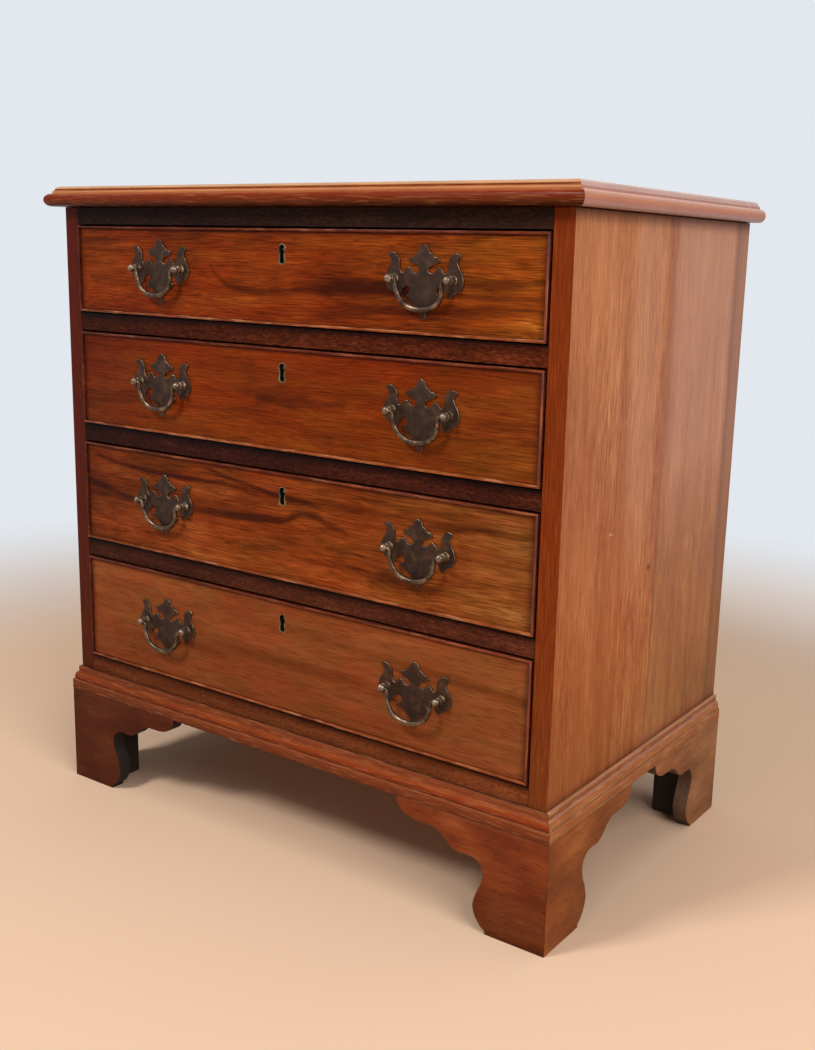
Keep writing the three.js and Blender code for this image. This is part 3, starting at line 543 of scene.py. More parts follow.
backWood = dict(timber, grain="z", cloud=(200, 60), figure=(260, 20), fibre=(40, 3.0), pore=(12, 1.4),
                shares=(0.5, 0.6, 0.4), wander=4, pores=0.3, poreColour="#5f4426", roughness=0.74, sheen=0.3,
                relief=0.8, shift=7.7, colours=("#8a6242", "#9e7450", "#ae835c", "#ba926c", "#caa680"))
sideLow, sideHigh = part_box("side_left")
frontLow, backHigh = sideLow.y, sideHigh.y


def sideMarks(node, colour, fields):
    y, z = fields["xyz"][1], fields["xyz"][2]
    wavyY = node("Math", (fields["ragged"], caseSide["bandWave"] * mm, y), operation="MULTIPLY_ADD")
    marks = []
    for y0, y1, z0, z1, shade, strength, soft in caseSide["bands"]:
        upright = bandMask(node, z, z0, z1, caseSide["bandSoft"])
        mask = node("Math", (bandMask(node, wavyY, y0, y1, soft), upright), operation="MULTIPLY")
        marks.append((node("Math", (mask, strength), operation="MULTIPLY"), shade))
    flat = node("CombineXYZ", {1: y, 2: z})
    for y0, z0, radius, shade, strength in caseSide["spots"]:
        away = node("VectorMath", (flat, (0, y0 * mm, z0 * mm)), operation="DISTANCE")
        inner = radius * caseSide["spotSoft"] * mm
        marks.append((node("MapRange", (away, inner, radius * mm, strength, 0.0)), shade))
    half, (softY, softZ) = caseSide["scratchHalf"], caseSide["scratchSoft"]
    for y0, z0, reach, shade in caseSide["scratches"]:
        upright = bandMask(node, z, z0 - reach, z0 + reach, softZ)
        thin = bandMask(node, y, y0 - half, y0 + half, softY)
        marks.append((node("Math", (thin, upright), operation="MULTIPLY"), shade))
    for mask, shade in marks:
        colour = node("Mix", {0: mask, 6: colour, 7: linear(shade)}, data_type="RGBA")
    return colour


def stileEdge(node, colour, fields):
    # the front edges of the sides, redder and darker, are seen as stiles
    stile = caseSide["stile"]
    start, end = frontLow + stile["from"] * mm, frontLow + stile["to"] * mm
    mask = node("MapRange", (fields["xyz"][1], start, end, 1.0, 0.0))
    edge = node("ValToRGB", (fields["fibre"],), stops=stile["fibres"])
    edge = drift(0, stile["drift"])(node, edge, fields)
    edge = drift(2, stile["rise"])(node, edge, fields)
    return node("Mix", {0: mask, 6: colour, 7: edge}, data_type="RGBA")


sideLayers = (sideMarks, drift(2, caseSide["rise"]), stileEdge)
sideFinish = woodMaterial("waxedWalnutSide", dict(caseSide["wood"], layers=sideLayers))
for name in ("side_left", "side_right"):
    dress(name, sideFinish)
for i, (name, (colours, leftPaintedShade, flecks)) in enumerate(rail["looks"].items()):
    layers = [drift(0, ((rail["left"], leftPaintedShade), *rail["run"]))]
    if i > 0:
        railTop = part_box(f"drawer_{i}_front")[0].z / mm - rail["gap"]
        layers.append(drift(2, [(railTop - below, shade) for below, shade in rail["paintedShadeAndDirt"]]))
    layers.append(beyond(1, frontLow / mm + rail["deep"], rail["deal"]))
    wood = dict(rail["wood"], colours=colours, shift=rail["shift"] + rail["shiftStep"] * i,
                shares=(*rail["shares"], flecks), layers=layers)
    dress(name, woodMaterial(f"polishedWalnutRail{i + 1}", wood))
dress("back_panel", woodMaterial("sawnDealBack", backWood))
print("case timbers finished")


# top board: waxed walnut with a thumb, ovolo and torus edge
# The eye sees a paler, duller field, worn arrises with painted highlights, and grooves dark with painted shade
# and old polish.

topBoard = {
    "over": 18.0, "thumb": (5.8, 3.7), "fillet": 0.8, "ovolo": (2.4, 3.2), "torus": 7.6, "steps": 8,
    "flat": 0.95,  # a face whose normal stands up more than this is flat
    "wood": dict(timber, cloud=(120, 45), figure=(200, 14), fibre=(36, 3.0), pore=(12, 1.3),
                 shares=(0.45, 0.5, 0.45), wander=6, poreColour="#6e3818", roughness=0.38, sheen=0.3, shift=9.2,
                 colours=("#7c4420", "#94562c", "#a66636", "#b47442", "#c88a56")),
    "coat": ("MIX", 0.92, 0.18), "rubs": ((30, 1.4), "#b4764c", 0.25),
    "edgeWood": dict(timber, poreColour="#260e07", roughness=0.28, sheen=0.06, shift=10.4,
                     colours=("#5a2408", "#6e2e0c", "#7e370f", "#904314", "#a85a24")),
    # by height in mm over the wood's tone: painted highlights on the thumb, ovolo and top of the torus, painted
    # shade in the grooves and under the torus
    "frontToneAndPaintedLight": (
        (736.3, "#2a120a"), (739, "#421c0f"), (741, "#5c2a14"), (745.5, "#661e05"), (748, "#692004"),
        (749.5, "#762704"), (751, "#984816"), (751.8, "#aa6a3a"), (752.8, "#c88c62"), (754.2, "#b0703f"),
        (754.9, "#8a3c16"), (755.6, "#6c2a0b"), (756.3, "#6e2a08"), (756.8, "#a06a3c"), (758, "#c69c74"),
        (760, "#b88460")),
    "sideEdgeWood": {"grain": "y", "shift": 11.1, "sheen": 0.1,
                     "colours": ("#8a5c46", "#9e6e58", "#ae7c66", "#be8e78", "#d0a490")},
    # the same for the side edge, with a painted sheen and a painted bluish reflection along its lower edge
    "sideToneAndPaintedLight": (
        (736.3, "#9e8a84"), (739.5, "#b38882"), (742, "#b37462"), (745.6, "#b87555"), (748, "#ba8065"),
        (751, "#c0927f"), (751.8, "#b48783"), (752.8, "#ad776d"), (754, "#af7b6e"), (754.9, "#bd9386"),
        (755.6, "#bd9c93"), (756.3, "#ceb5ab"), (756.8, "#c29c95"), (758, "#c0a198"), (760, "#baa290"))}


def topEdgeProfile():
    (thumbOut, thumbTall), (ovoloOut, ovoloTall) = topBoard["thumb"], topBoard["ovolo"]
    torus, fillet, steps = topBoard["torus"], topBoard["fillet"], topBoard["steps"]
    torusStart = topBoard["over"] - torus
    ovoloStart = torusStart - ovoloOut
    ovoloTop = thumbTall + fillet
    torusTop = ovoloTop + ovoloTall + fillet
    return (arc((ovoloStart - thumbOut, -thumbTall), (thumbOut, thumbTall), 0.25, 0.0, steps)
            + arc((ovoloStart, -ovoloTop - ovoloTall), (ovoloOut, ovoloTall), 0.25, 0.0, steps)
            + arc((torusStart, -torusTop - torus), (torus, torus), 0.25, -0.25, steps * 2))


def mouldTop():
    low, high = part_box("top_board")
    rings = []
    for proud, drop in topEdgeProfile():
        pull = (topBoard["over"] - proud) * mm
        z = high.z + drop * mm
        rings.append([(low.x + pull, low.y + pull, z), (high.x - pull, low.y + pull, z),
                      (high.x - pull, high.y, z), (low.x + pull, high.y, z)])
    frontLayers = (drift(2, topBoard["frontToneAndPaintedLight"], *topBoard["coat"]), rubs(*topBoard["rubs"]))
    sideLook = dict(topBoard["sideEdgeWood"], layers=(drift(2, topBoard["sideToneAndPaintedLight"], *topBoard["coat"]),))
    finishes = (woodMaterial("waxedWalnutTop", topBoard["wood"]),
                woodMaterial("polishedTopEdge", dict(topBoard["edgeWood"], layers=frontLayers)),
                woodMaterial("polishedTopSideEdge", dict(topBoard["edgeWood"], **sideLook)))
    mesh = meshFrom("topBoard", *sweep(rings))
    newPiece("top_board_moulded", mesh, finishes, "carcase", ("top_board",))
    for face in mesh.polygons:
        if abs(face.normal.z) < topBoard["flat"] or face.center.z < high.z - mm:
            face.material_index = 2 if abs(face.normal.x) > abs(face.normal.y) else 1


mouldTop()
print("top board moulded")


# base moulding: polished walnut, a bead, a cove, a swell and a band
# The eye sees a painted bright line along the bead and swell, painted shade in the grooves between, and dashes
# of worn polish.

baseMould = {
    "seat": 0.3, "tall": 30.0, "bead": (3.3, 8.0), "cove": 2.4, "swell": (4.6, 7.4, 9.4), "band": 9.2,
    "arris": 0.9, "steps": 6,
    "wood": dict(timber, poreColour="#210d07", roughness=0.32, sheen=0.08, shift=12.9,
                 colours=("#4c1c0d", "#642a14", "#74371d", "#864628", "#a05e3b")),
    # by height in mm over the wood's tone: painted highlights on the arrises and swell, painted shade in the
    # grooves
    "frontToneAndPaintedLight": (
        (122.5, "#612c14"), (125, "#673016"), (130, "#7b3b1d"), (132, "#7a3a1e"), (133.4, "#824524"),
        (134.2, "#955432"), (134.8, "#8a4a2a"), (135.2, "#542210"), (136, "#742e13"), (139, "#8b3915"),
        (143, "#924217"), (144.2, "#843e18"), (145, "#733417"), (146, "#7f3b1a"), (150, "#833f22"),
        (151.4, "#834c2a"), (152.5, "#401a0c")),
    # the same for the sides, with pale painted highlights on the arrises
    "sideToneAndPaintedLight": (
        (122.5, "#905c36"), (128, "#9c5e32"), (132, "#a45e2c"), (133.4, "#a96235"), (134.2, "#a86a41"),
        (134.8, "#a06844"), (135.2, "#926240"), (136, "#a67248"), (139, "#a96836"), (143, "#a46136"),
        (144.2, "#b17a5e"), (145, "#a57356"), (146, "#854d2d"), (150, "#9c5e38"), (151.4, "#b97d5a"),
        (152.5, "#b88565")),
    # run darkens the left end, a painted shade
    "run": ((-360, "#dedad8"), (60, "#faf8f8"), (320, "#ffffff")), "coat": ("MIX", 0.92, 0.3),
    "frontRubs": ((26, 1.6), "#b4744a", 0.32), "sideRubs": ((24, 1.6), "#cf9c74", 0.35)}
frontMould = woodMaterial("polishedBaseMoulding", dict(baseMould["wood"], layers=(
    drift(2, baseMould["frontToneAndPaintedLight"], *baseMould["coat"]), drift(0, baseMould["run"]),
    rubs(*baseMould["frontRubs"]))))
sideMould = woodMaterial("polishedBaseSideMoulding", dict(baseMould["wood"], grain="y", shift=13.6, layers=(
    drift(2, baseMould["sideToneAndPaintedLight"], *baseMould["coat"]), rubs(*baseMould["sideRubs"]))))


def baseProfile():
    seat, tall, arris, steps = (baseMould[k] for k in ("seat", "tall", "arris", "steps"))
    beadOut, beadTall = baseMould["bead"]
    swellIn, swellOut, swellTall = baseMould["swell"]
    bandOut, cove = baseMould["band"], baseMould["cove"]
    swellLow = tall - beadTall - swellTall
    return ([(seat, 0.0), (seat, tall)]
            + arc((beadOut - arris, tall - arris), (arris, arris), 0.25, 0.0, steps)
            + arc((swellIn, tall - beadTall + cove), (swellIn - beadOut, cove), 0.5, 0.75, steps)
            + arc((swellIn, swellLow), (swellOut - swellIn, swellTall), 0.25, 0.0, steps * 2)
            + arc((bandOut - arris, swellLow - arris), (arris, arris), 0.25, 0.0, steps)
            + [(bandOut, 0.0)])


def baseMoulding(name, finish, places):
    rings = [[place(proud * mm, up * mm) for proud, up in baseProfile()] for place in places]
    newPiece(f"{name}_run", meshFrom(name, *sweep(rings)), (finish,), "carcase", (name,))


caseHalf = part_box("side_right")[1].x
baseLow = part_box("side_right")[0].z
gap = baseMould["seat"] * mm
baseMoulding("base_moulding_front", frontMould, [
    lambda proud, up, side=side: (side * (caseHalf + proud - gap), frontLow - proud, baseLow + up)
    for side in (-1, 1)])
for side, name in ((1, "base_moulding_right"), (-1, "base_moulding_left")):
    baseMoulding(name, sideMould, [
        lambda proud, up, side=side: (side * (caseHalf + proud), frontLow - proud + gap, baseLow + up),
        lambda proud, up, side=side: (side * (caseHalf + proud), backHigh, baseLow + up)])
print("base moulding run")


# bracket feet: polished walnut in front and at the sides, sawn and unpolished behind
# The eye sees broad soft figure, a foot darker towards the floor, and near-black sawn edges, stained and in
# painted shade under the chest.

footWood = dict(timber, cloud=(90, 45), figure=(150, 20), fibre=(30, 2.2), pore=(12, 1.2),
                shares=(0.5, 0.22, 0.16), wander=5, pores=0.22, poreColour="#2c120a", roughness=0.38,
                sheen=0.09, relief=0.3, shift=15.2,
                colours=("#4e1f0c", "#622a13", "#723518", "#804221", "#985832"))
sawnWood = dict(footWood, grain="z", shift=17.3, roughness=0.7, sheen=0.3, relief=0.6, poreColour="#1c120c",
                colours=("#2a1c14", "#382619", "#453021", "#523b2a", "#664a36"))
foot = {
    "long": 188.5, "rearLong": 130.0, "thick": 18.0, "tall": 122.2, "ease": 0.7, "steps": 5, "facing": 0.5,
    "block": 40.0, "blockLift": 2.0, "blockDrop": 0.1, "blockGap": 0.05, "blockEase": 1.2,
    # outlines from the floor to the moulding, in thousandths of length and height
    "line": ((380, 30), (418, 75), (450, 150), (463, 240), (446, 345), (417, 445), (404, 540), (421, 622),
             (463, 670), (518, 675), (575, 673), (626, 706), (682, 777), (740, 822), (810, 829), (893, 838),
             (957, 880), (990, 940), (1000, 1000)),
    "rearLine": ((440, 30), (455, 200), (500, 420), (620, 630), (800, 760), (960, 840), (1000, 1000)),
    "looks": {
        "polishedWalnutFoot": dict(
            footWood, colours=("#592310", "#703016", "#833d1c", "#934c26", "#ae643a"), layers=(
                drift(0, ((150, "#f0eae8"), (290, "#ffffff"))),
                drift(2, ((0, "#a8a8a8"), (8, "#c2c2c2"), (26, "#cccccc"), (42, "#d2d2d2"), (58, "#e8e8e8"),
                          (85, "#fafafa"), (105, "#ffffff"), (122, "#f4f4f4"))))),
        # the left foot, darkened by painted shade
        "polishedWalnutLeftFootPaintedShade": dict(footWood, layers=(drift(0, ((-360, "#aea09c"), (-150, "#c8bcb8"))),)),
        "polishedWalnutSideFoot": dict(
            footWood, grain="y", shift=16.1, shares=(0.7, 0.2, 0.16),
            colours=("#714223", "#865431", "#95613c", "#a4704a", "#bd8b66"), layers=(
                drift(1, ((-215, "#ddb27e"), (-140, "#dfb88c"), (-25, "#e9cbab"), (60, "#f0dcc8"),
                          (200, "#ffffff"))),)),
        "unpolishedRearBracket": sawnWood,
        "stainedSawnEdgePaintedShade": dict(  # near black: stain, and painted shade under the chest
            sawnWood, shift=18.0, poreColour="#0e0908",
            colours=("#140d0a", "#1c130e", "#241812", "#2e1f17", "#402c20")),
        "brownSawnEdge": dict(
            sawnWood, shift=18.6, poreColour="#2c1c12",
            colours=("#3c281b", "#4c3424", "#5c4130", "#6c4e3a", "#80604a"))}}
rightFace, leftFace, sideFace, rearFace, cutEdge, rearEdge = (
    woodMaterial(name, look) for name, look in foot["looks"].items())


def bracket(name, line, longMm, place, finish, edgeFinish, cadNode):
    # an ogee outline pushed through the board's thickness
    tall, thick = foot["tall"], foot["thick"]
    curve = smoothRun([(a * longMm, u * tall) for a, u in portions(line)], foot["steps"])
    outline = [(0.0, 0.0), (curve[0][0], 0.0)] + curve + [(0.0, tall)]
    rings = []
    for depth in (0.0, thick):  # the corner end is mitred
        rings.append([place(depth if along == 0 else along, depth, up) for along, up in outline])
    mesh = meshFrom(name, *sweep(rings))
    piece = newPiece(name, mesh, (finish, edgeFinish), "carcase", (cadNode,))
    outward = (Vector(place(1, 0, 0)) - Vector(place(1, thick, 0))).normalized()
    for face in mesh.polygons:
        face.material_index = 0 if face.normal.dot(outward) > foot["facing"] else 1
    easeEdges(piece, foot["ease"])


def bracketFoot(end, side):
    cadNode = f"foot_{end}_{'right' if side > 0 else 'left'}"
    low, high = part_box(cadNode)
    cornerX = high.x if side > 0 else low.x
    cornerY, inward = (low.y, 1) if end == "front" else (high.y, -1)

    def acrossPlace(along, depth, up):
        return cornerX - side * along * mm, cornerY + inward * depth * mm, up * mm

    def alongPlace(along, depth, up):
        return cornerX - side * depth * mm, cornerY + inward * along * mm, up * mm

    if end == "front":
        faceFinish = rightFace if side > 0 else leftFace
        bracket(f"{cadNode}_face", foot["line"], foot["long"], acrossPlace, faceFinish, cutEdge, cadNode)
    else:
        bracket(f"{cadNode}_rear", foot["rearLine"], foot["rearLong"], acrossPlace, rearFace, cutEdge, cadNode)
    sideEdge = cutEdge if end == "front" else rearEdge
    bracket(f"{cadNode}_side", foot["line"], foot["long"], alongPlace, sideFace, sideEdge, cadNode)
    near, far = foot["thick"] + foot["blockGap"], foot["thick"] + foot["block"]
    rings = [[acrossPlace(a, b, up) for a, b in ((near, near), (far, near), (far, far), (near, far))]
             for up in (foot["blockLift"], foot["tall"] - foot["blockDrop"])]
    name = f"{cadNode}_block"
    block = newPiece(name, meshFrom(name, *sweep(rings)), (cutEdge,), "carcase", (cadNode,))
    easeEdges(block, foot["blockEase"])


for end in ("front", "back"):
    for side in (1, -1):
        bracketFoot(end, side)
print("feet cut and glued")


# drawer linings: oak, scraped and left bare, pale and dry with open brown pores

liningWood = dict(timber, grain="y", cloud=(160, 50), figure=(220, 16), fibre=(34, 3.0), pore=(12, 1.3),
                  wander=4, shares=(0.45, 0.5, 0.45), pores=0.4, poreColour="#6b4c2a", roughness=0.6,
                  sheen=0.35, relief=0.5, shift=19.4,
                  colours=("#8c6a40", "#a07c4e", "#ae8b5c", "#bc9c6e", "#ceb286"))
liningFinish = woodMaterial("scrapedOakLining", liningWood)
bottomFinish = woodMaterial("scrapedOakBottom", dict(liningWood, grain="x", shift=20.8))
for number in range(1, 5):
    dress(f"drawer_{number}_box", liningFinish)
    dress(f"drawer_{number}_bottom", bottomFinish)
print("drawer linings finished")


# brass: handles, escutcheons, locks
# Cast brass gone brown: a dark oxide skin over yellow metal, rubbed bright where cloths and fingers reach it.

brass = {
    # sand grain of the casting, some three times real size so that it shows
    "grainMm": 1.1, "grainShare": 0.35,
    "relief": 0.25, "reliefMm": 0.2,
    # size of the tarnish patches in mm, where they stand in the pattern, metallic, then colours and roughness
    # from dark to bright
    "looks": {
        "patinatedBrassPlate": (11, (0.5, 0.85), 0.7, ("#2b1c12", "#3a2518", "#523725"), (0.56, 0.44)),
        "rubbedBrassRim": (7, (0.5, 0.8), 0.9, ("#3a2a1e", "#564434", "#806c58"), (0.46, 0.34)),
        "handledBrassBail": (9, (0.48, 0.84), 0.9, ("#35281f", "#554335", "#8b7056"), (0.42, 0.3)),
        "turnedBrassPost": (8.5, (0.5, 0.82), 0.85, ("#4a392c", "#6f5a49", "#a08a70"), (0.48, 0.36)),
        "letInBrassEscutcheon": (6, (0.5, 0.8), 0.85, ("#54432c", "#76603f", "#988056"), (0.5, 0.35)),
        "filedBrassBolt": (17, (0.45, 0.85), 1.0, ("#8c6c36", "#ab8a4c", "#c9a965"), (0.4, 0.25)),
        "blackenedIronLock": (20, (0.45, 0.85), 0.9, ("#3a3632", "#5a544c", "#7d766b"), (0.55, 0.35)),
        # near black: painted shade inside the keyhole
        "keyholeWallPaintedShade": (12.5, (0.45, 0.85), 0.6, ("#120f0d", "#1d1916", "#2a2520"), (0.7, 0.5))}}


def brassMaterial(name, look):
    patchMm, (dark, bright), metal, colours, (dull, shiny) = look
    material, node = newMaterial(name)
    spot = node("TexCoord").node.outputs["Object"]
    patch = node("TexNoise", {"Vector": spot, "Scale": 1000 / patchMm, "Detail": 6.0, "Roughness": 0.62})
    sand = 1000 / brass["grainMm"]
    grain = node("TexNoise", {"Vector": spot, "Scale": sand, "Detail": 3.0, "Roughness": 0.6})
    mix = node("Math", (grain, brass["grainShare"], patch), operation="MULTIPLY_ADD")
    places = (dark, (dark + bright) / 2, bright)
    colour = node("ValToRGB", (mix,), stops=zip(places, colours))
    rough = node("MapRange", (mix, dark, bright, dull, shiny))
    bump = node("Bump", {"Strength": brass["relief"], "Distance": brass["reliefMm"] * mm, "Height": mix})
    cast = node("BsdfPrincipled", {"Base Color": colour, "Roughness": rough, "Normal": bump, "Metallic": metal})
    node("OutputMaterial", (cast,))
    return material


metals = {name: brassMaterial(name, look) for name, look in brass["looks"].items()}

plate = {
    "wide": 93.6, "rise": 33.8, "drop": 39.2, "thick": 1.6, "seat": 0.3, "ease": 0.45, "steps": 4,
    # smooth runs down the right half from its top, each to the next cusp, in thousandths of half width and
    # of rise or drop
    "runs": (
        ((75, 960), (117, 870), (130, 785)),
        ((200, 735), (260, 655), (350, 625), (405, 550)),
        ((340, 475), (200, 400), (125, 310), (110, 240)),
        ((170, 182), (260, 185)),
        ((310, 275), (380, 343), (455, 300), (490, 220)),
        ((530, 185), (575, 190)),
        ((618, 310), (628, 550)),
        ((690, 670), (765, 742), (850, 752), (945, 685)),
        ((875, 600), (845, 500), (885, 355), (955, 200), (998, 30), (995, -105), (950, -220), (870, -295),
         (795, -330), (665, -465)),
        ((600, -375), (550, -260), (490, -190), (420, -170), (360, -210), (340, -300)),
        ((385, -370), (470, -425)),
        ((410, -510), (325, -557)),
        ((240, -615), (168, -700), (88, -788), (62, -855)),
        ((82, -910), (58, -970), (0, -1000)))}
post = {
    "spread": 35.3, "reach": 10.0, "ball": 4.6, "ballFrom": 0.1, "ballSteps": 12, "sides": 28,
    "collar": ((0.0, 0.2), (5.0, 0.2), (5.0, -0.8), (4.6, -1.2), (4.5, -1.8), (4.2, -2.4), (4.2, -7.0)),
    "shank": 2.4, "shankSides": 16, "start": 0.5, "front": 20.0,  # the last is the drawer front's thickness
    "nut": 5.6, "nutThick": 3.6, "nutSides": 6, "end": 2.4, "ease": 0.4}
bail = {
    "drop": 30.4, "pivot": 1.55, "arm": 2.25, "middle": 3.3, "pin": 36.4,  # pivot, arm and middle are radii
    "line": ((865, 0), (808, 40), (789, 180), (765, 400), (690, 620), (530, 820), (290, 953), (0, 1000)),
    "armFrom": 0.18, "steps": 5, "around": 16,
    "leans": {1: {"left": 4.5, "right": 11.5}, 2: {"left": 4, "right": 8},  # degrees towards the plate at rest
              3: {"left": 7, "right": 3.5}, 4: {"left": 0, "right": -3}}}


def plateOutline():
    half, start = [(0.0, 1.0)], (0.0, 1.0)
    for run in plate["runs"]:
        points = [start] + portions(run)
        half += smoothRun(points, plate["steps"])[1:]
        start = points[-1]
    return mirrored([(a * plate["wide"] / 2, u * (plate["rise"] if u > 0 else plate["drop"])) for a, u in half])


def lathe(profile, centre, sides):
    # turned about Y: profile of (radius, y) in mm, centre in metres; the axis keeps a hair of radius
    rings = []
    for radius, along in profile:
        reach = max(radius * mm, hair)
        rings.append([(centre[0] + reach * math.cos(math.tau * i / sides), centre[1] + along * mm,
                       centre[2] + reach * math.sin(math.tau * i / sides)) for i in range(sides)])
    return sweep(rings)


def joined(parts):
    spots, faces = [], []
    for partSpots, partFaces in parts:
        start = len(spots)
        spots += partSpots
        faces += [tuple(i + start for i in face) for face in partFaces]
    return spots, faces


def postParts(centre):
    # a turned post, and behind the drawer front its threaded shank and nut
    ball, ease, shank, nut = (post[k] for k in ("ball", "ease", "shank", "nut"))
    nutFace = plate["seat"] + plate["thick"] + post["front"] + plate["seat"]
    nutBack = nutFace + post["nutThick"]
    tip = nutBack + post["end"]
    turned = list(post["collar"]) + arc((0.0, -post["reach"]), (ball, ball), post["ballFrom"], -0.25,
                                        post["ballSteps"])
    rod = ((0.0, post["start"]), (shank, post["start"]), (shank, tip - ease), (shank - ease, tip), (0.0, tip))
    nutLine = ((shank, nutFace), (nut - ease, nutFace), (nut, nutFace + ease), (nut, nutBack - ease),
               (nut - ease, nutBack), (shank, nutBack))
    return (lathe(turned, centre, post["sides"]), lathe(rod, centre, post["shankSides"]),
            lathe(nutLine, centre, post["nutSides"]))


def bailRings(lean, centreX, pivotY, level):
    # thin at its pins and full at the middle
    line = [(a * post["spread"], -d * bail["drop"]) for a, d in portions(bail["line"])]
    half = [(bail["pin"], 0.0)] + smoothRun(line, bail["steps"])
    centreLine = half + [(-x, z) for x, z in reversed(half[:-1])]
    rings = []
    for i, (x, z) in enumerate(centreLine):
        before, after = centreLine[max(i - 1, 0)], centreLine[min(i + 1, len(centreLine) - 1)]
        run = Vector((after[0] - before[0], after[1] - before[1])).normalized()
        share = min(-z / bail["drop"], 1.0)
        neckShare = min(share / bail["armFrom"], 1.0)
        thick = (bail["pivot"] + (bail["arm"] - bail["pivot"]) * neckShare
                 + (bail["middle"] - bail["arm"]) * share ** 3)
        ring = []
        for k in range(bail["around"]):
            turn = math.tau * (k + 0.5) / bail["around"]
            out, up = thick * math.sin(turn), z - run.x * thick * math.cos(turn)
            ring.append((centreX + (x + run.y * thick * math.cos(turn)) * mm,
                         pivotY + (out * math.cos(lean) - up * math.sin(lean)) * mm,
                         level + (out * math.sin(lean) + up * math.cos(lean)) * mm))
        rings.append(ring)
    return rings


def handle(number, side):
    plateNode, bailNode = f"drawer_{number}_{side}_plate", f"drawer_{number}_{side}_bail"
    low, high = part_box(plateNode)
    centreX = (low.x + high.x) / 2
    level = high.z - plate["rise"] * mm
    face = frontLow - (plate["seat"] + plate["thick"]) * mm
    rings = [[(centreX + x * mm, y, level + z * mm) for x, z in plateOutline()]
             for y in (face, face + plate["thick"] * mm)]
    backPlate = newPiece(f"{plateNode}_cast", meshFrom(plateNode, *sweep(rings)),
                         (metals["patinatedBrassPlate"], metals["rubbedBrassRim"]),
                         f"drawer_{number}", (plateNode,))
    easeEdges(backPlate, plate["ease"], angle=60, rimMaterial=1)
    for sign, letter in ((-1, "a"), (1, "b")):
        centre = (centreX + sign * post["spread"] * mm, face, level)
        newPiece(f"{plateNode}_post_{letter}", meshFrom("handlePost", *joined(postParts(centre))),
                 (metals["turnedBrassPost"],), f"drawer_{number}", smoothAngle=40)
    lean = math.radians(bail["leans"][number][side])
    rings = bailRings(lean, centreX, face - post["reach"] * mm, level)
    newPiece(f"{bailNode}_cast", meshFrom(bailNode, *sweep(rings)), (metals["handledBrassBail"],),
             f"drawer_{number}_{side}_handle", (bailNode,), smoothAngle=40)


keyhole = {  # a thin brass thread let in flush, its front edges rounded
    # width, height, and the right half in thousandths of half of each
    "thread": (10.8, 22.4, (
        (0, 1000), (400, 950), (780, 800), (980, 570), (960, 360), (800, 100), (770, -100), (840, -360),
        (980, -620), (840, -860), (440, -970), (0, -1000))),
    "hole": (8.2, 19.8, (
        (0, 1000), (420, 950), (800, 800), (1000, 580), (950, 360), (720, 80), (640, -140), (660, -400),
        (770, -680), (660, -880), (340, -970), (0, -1000))),
    "steps": 3, "ease": 0.2, "shrunk": (0.97, 0.985), "grown": (1.03, 1.015)}


def keyOutline(which):
    wide, tall, half = keyhole[which]
    return mirrored(smoothRun([(a * wide / 2, u * tall / 2) for a, u in portions(half)], keyhole["steps"]))


def escutcheon(number):
    cadNode = f"drawer_{number}_escutcheon"
    low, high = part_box(cadNode)
    centre = (low + high) / 2
    outer, inner, full = keyOutline("thread"), keyOutline("hole"), (1, 1)
    front, eased, back = low.y, low.y + keyhole["ease"] * mm, high.y
    profile = ((outer, full, back), (outer, full, eased), (outer, keyhole["shrunk"], front),
               (inner, keyhole["grown"], front), (inner, full, eased), (inner, full, back))
    rings = []
    for line, (wider, taller), y in profile:
        rings.append([(centre.x + x * wider * mm, y, centre.z + z * taller * mm) for x, z in line])
    mesh = meshFrom(cadNode, *sweep(rings, closeRound=True))
    newPiece(f"{cadNode}_thread", mesh, (metals["letInBrassEscutcheon"], metals["keyholeWallPaintedShade"]),
             f"drawer_{number}", (cadNode,), smoothAngle=40)
    for face in mesh.polygons:
        inwards = face.normal.dot(centre - face.center) > 0
        face.material_index = 1 if inwards and abs(face.normal.y) < runsAlong else 0


for number in range(1, 5):
    for side in ("left", "right"):
        handle(number, side)
    escutcheon(number)
    dress(f"drawer_{number}_lock_case", metals["blackenedIronLock"])
    dress(f"drawer_{number}_lock_bolt", metals["filedBrassBolt"])
print("brasses fitted")


# eased arrises on the carried-over parts, mm

easedParts = {"side_left": 0.8, "side_right": 0.8, "divider_1": 0.5, "divider_2": 0.5, "divider_3": 0.5,
              "top_frame": 0.5, "bottom_frame": 0.5, "back_panel": 0.6}
for name, width in easedParts.items():
    weld = nodes[name].modifiers.new("closedMesh", "WELD")
    weld.merge_threshold = 10 * hair
    easeEdges(nodes[name], width)


# floor, light and world: a matt pale floor and soft daylight

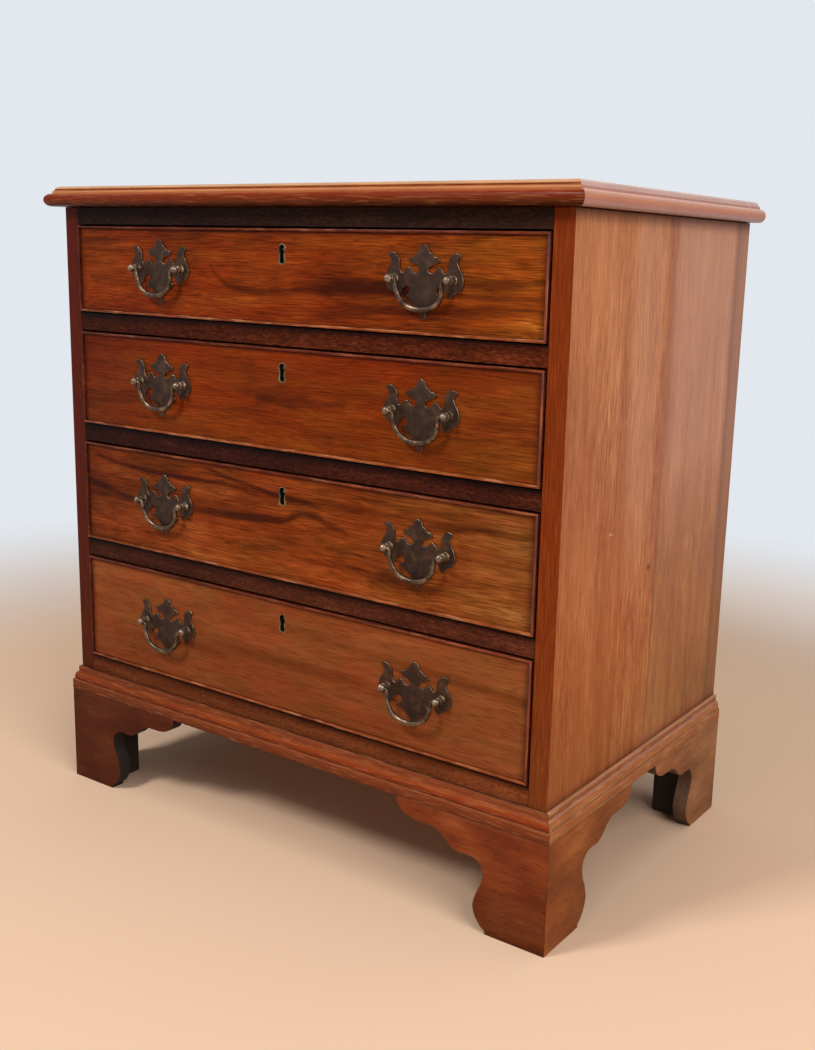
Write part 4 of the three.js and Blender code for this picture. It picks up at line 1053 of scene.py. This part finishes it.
studio = {
    "floorHalf": 6, "floorColour": "#e2be9f", "floorRoughness": 0.9,
    "airColour": "#e3e8ee", "airLight": 0.22,  # strength on the object; the eye and reflections see it at 1
    "fade": (0.75, 1.9),  # where the floor gives way to the air, in m from the chest's middle
    "lamps": (  # name, place, aimed at, size in m, power in W
        ("windowRight", (2.5, -1.2, 2.2), (0.1, 0.0, 0.4), 1.8, 62),
        ("softFront", (-0.9, -2.2, 2.7), (0.0, 0.0, 0.4), 0.7, 62),
        ("ceiling", (0.4, 0.2, 3.0), (0.0, 0.0, 0.0), 2.4, 30))}
airColour = linear(studio["airColour"])


def seenDirectly(node):
    # 1 for the eye, and for what shines in or through the object
    path = node("LightPath").node.outputs
    seen = node("Math", (path["Is Camera Ray"], path["Is Glossy Ray"]), operation="MAXIMUM")
    return node("Math", (seen, path["Is Transmission Ray"]), operation="MAXIMUM")


half = studio["floorHalf"]
corners = [(-half, -half, 0), (half, -half, 0), (half, half, 0), (-half, half, 0)]
floorMesh = meshFrom("floor", corners, [(0, 1, 2, 3)])
floor = bpy.data.objects.new("studioFloor", floorMesh)
bpy.context.scene.collection.objects.link(floor)
floorFinish, node = newMaterial("paleStudioFloor")
floorColour = linear(studio["floorColour"])
matt = node("BsdfPrincipled", {"Base Color": floorColour, "Roughness": studio["floorRoughness"]})
away = node("VectorMath", (node("TexCoord").node.outputs["Object"],), operation="LENGTH")
fadeFrom, fadeTo = studio["fade"]
fadeOut = node("MapRange", (away, fadeFrom, fadeTo), interpolation_type="SMOOTHSTEP")
faded = node("Math", (fadeOut, seenDirectly(node)), operation="MULTIPLY")
airGlow = node("Emission", (airColour, 1.0))
node("OutputMaterial", (node("MixShader", (faded, matt, airGlow)),))
floorMesh.materials.append(floorFinish)

for name, place, target, size, power in studio["lamps"]:
    data = bpy.data.lights.new(name, "AREA")
    data.shape = "SQUARE"
    data.size = size
    data.energy = power
    lamp = bpy.data.objects.new(name, data)
    lamp.location = place
    lamp.rotation_euler = (Vector(target) - Vector(place)).to_track_quat("-Z", "Y").to_euler()
    bpy.context.scene.collection.objects.link(lamp)

world = bpy.data.worlds.new("paleStudio")
bpy.context.scene.world = world
world.use_nodes = True
world.node_tree.nodes.clear()
node = partial(add, world.node_tree)
glow = node("MapRange", {0: seenDirectly(node), 3: studio["airLight"]})
paleAir = node("Background", (airColour, glow))
node("OutputWorld", (paleAir,))
bpy.context.scene.view_settings.view_transform = "Standard"
print("stage lit")
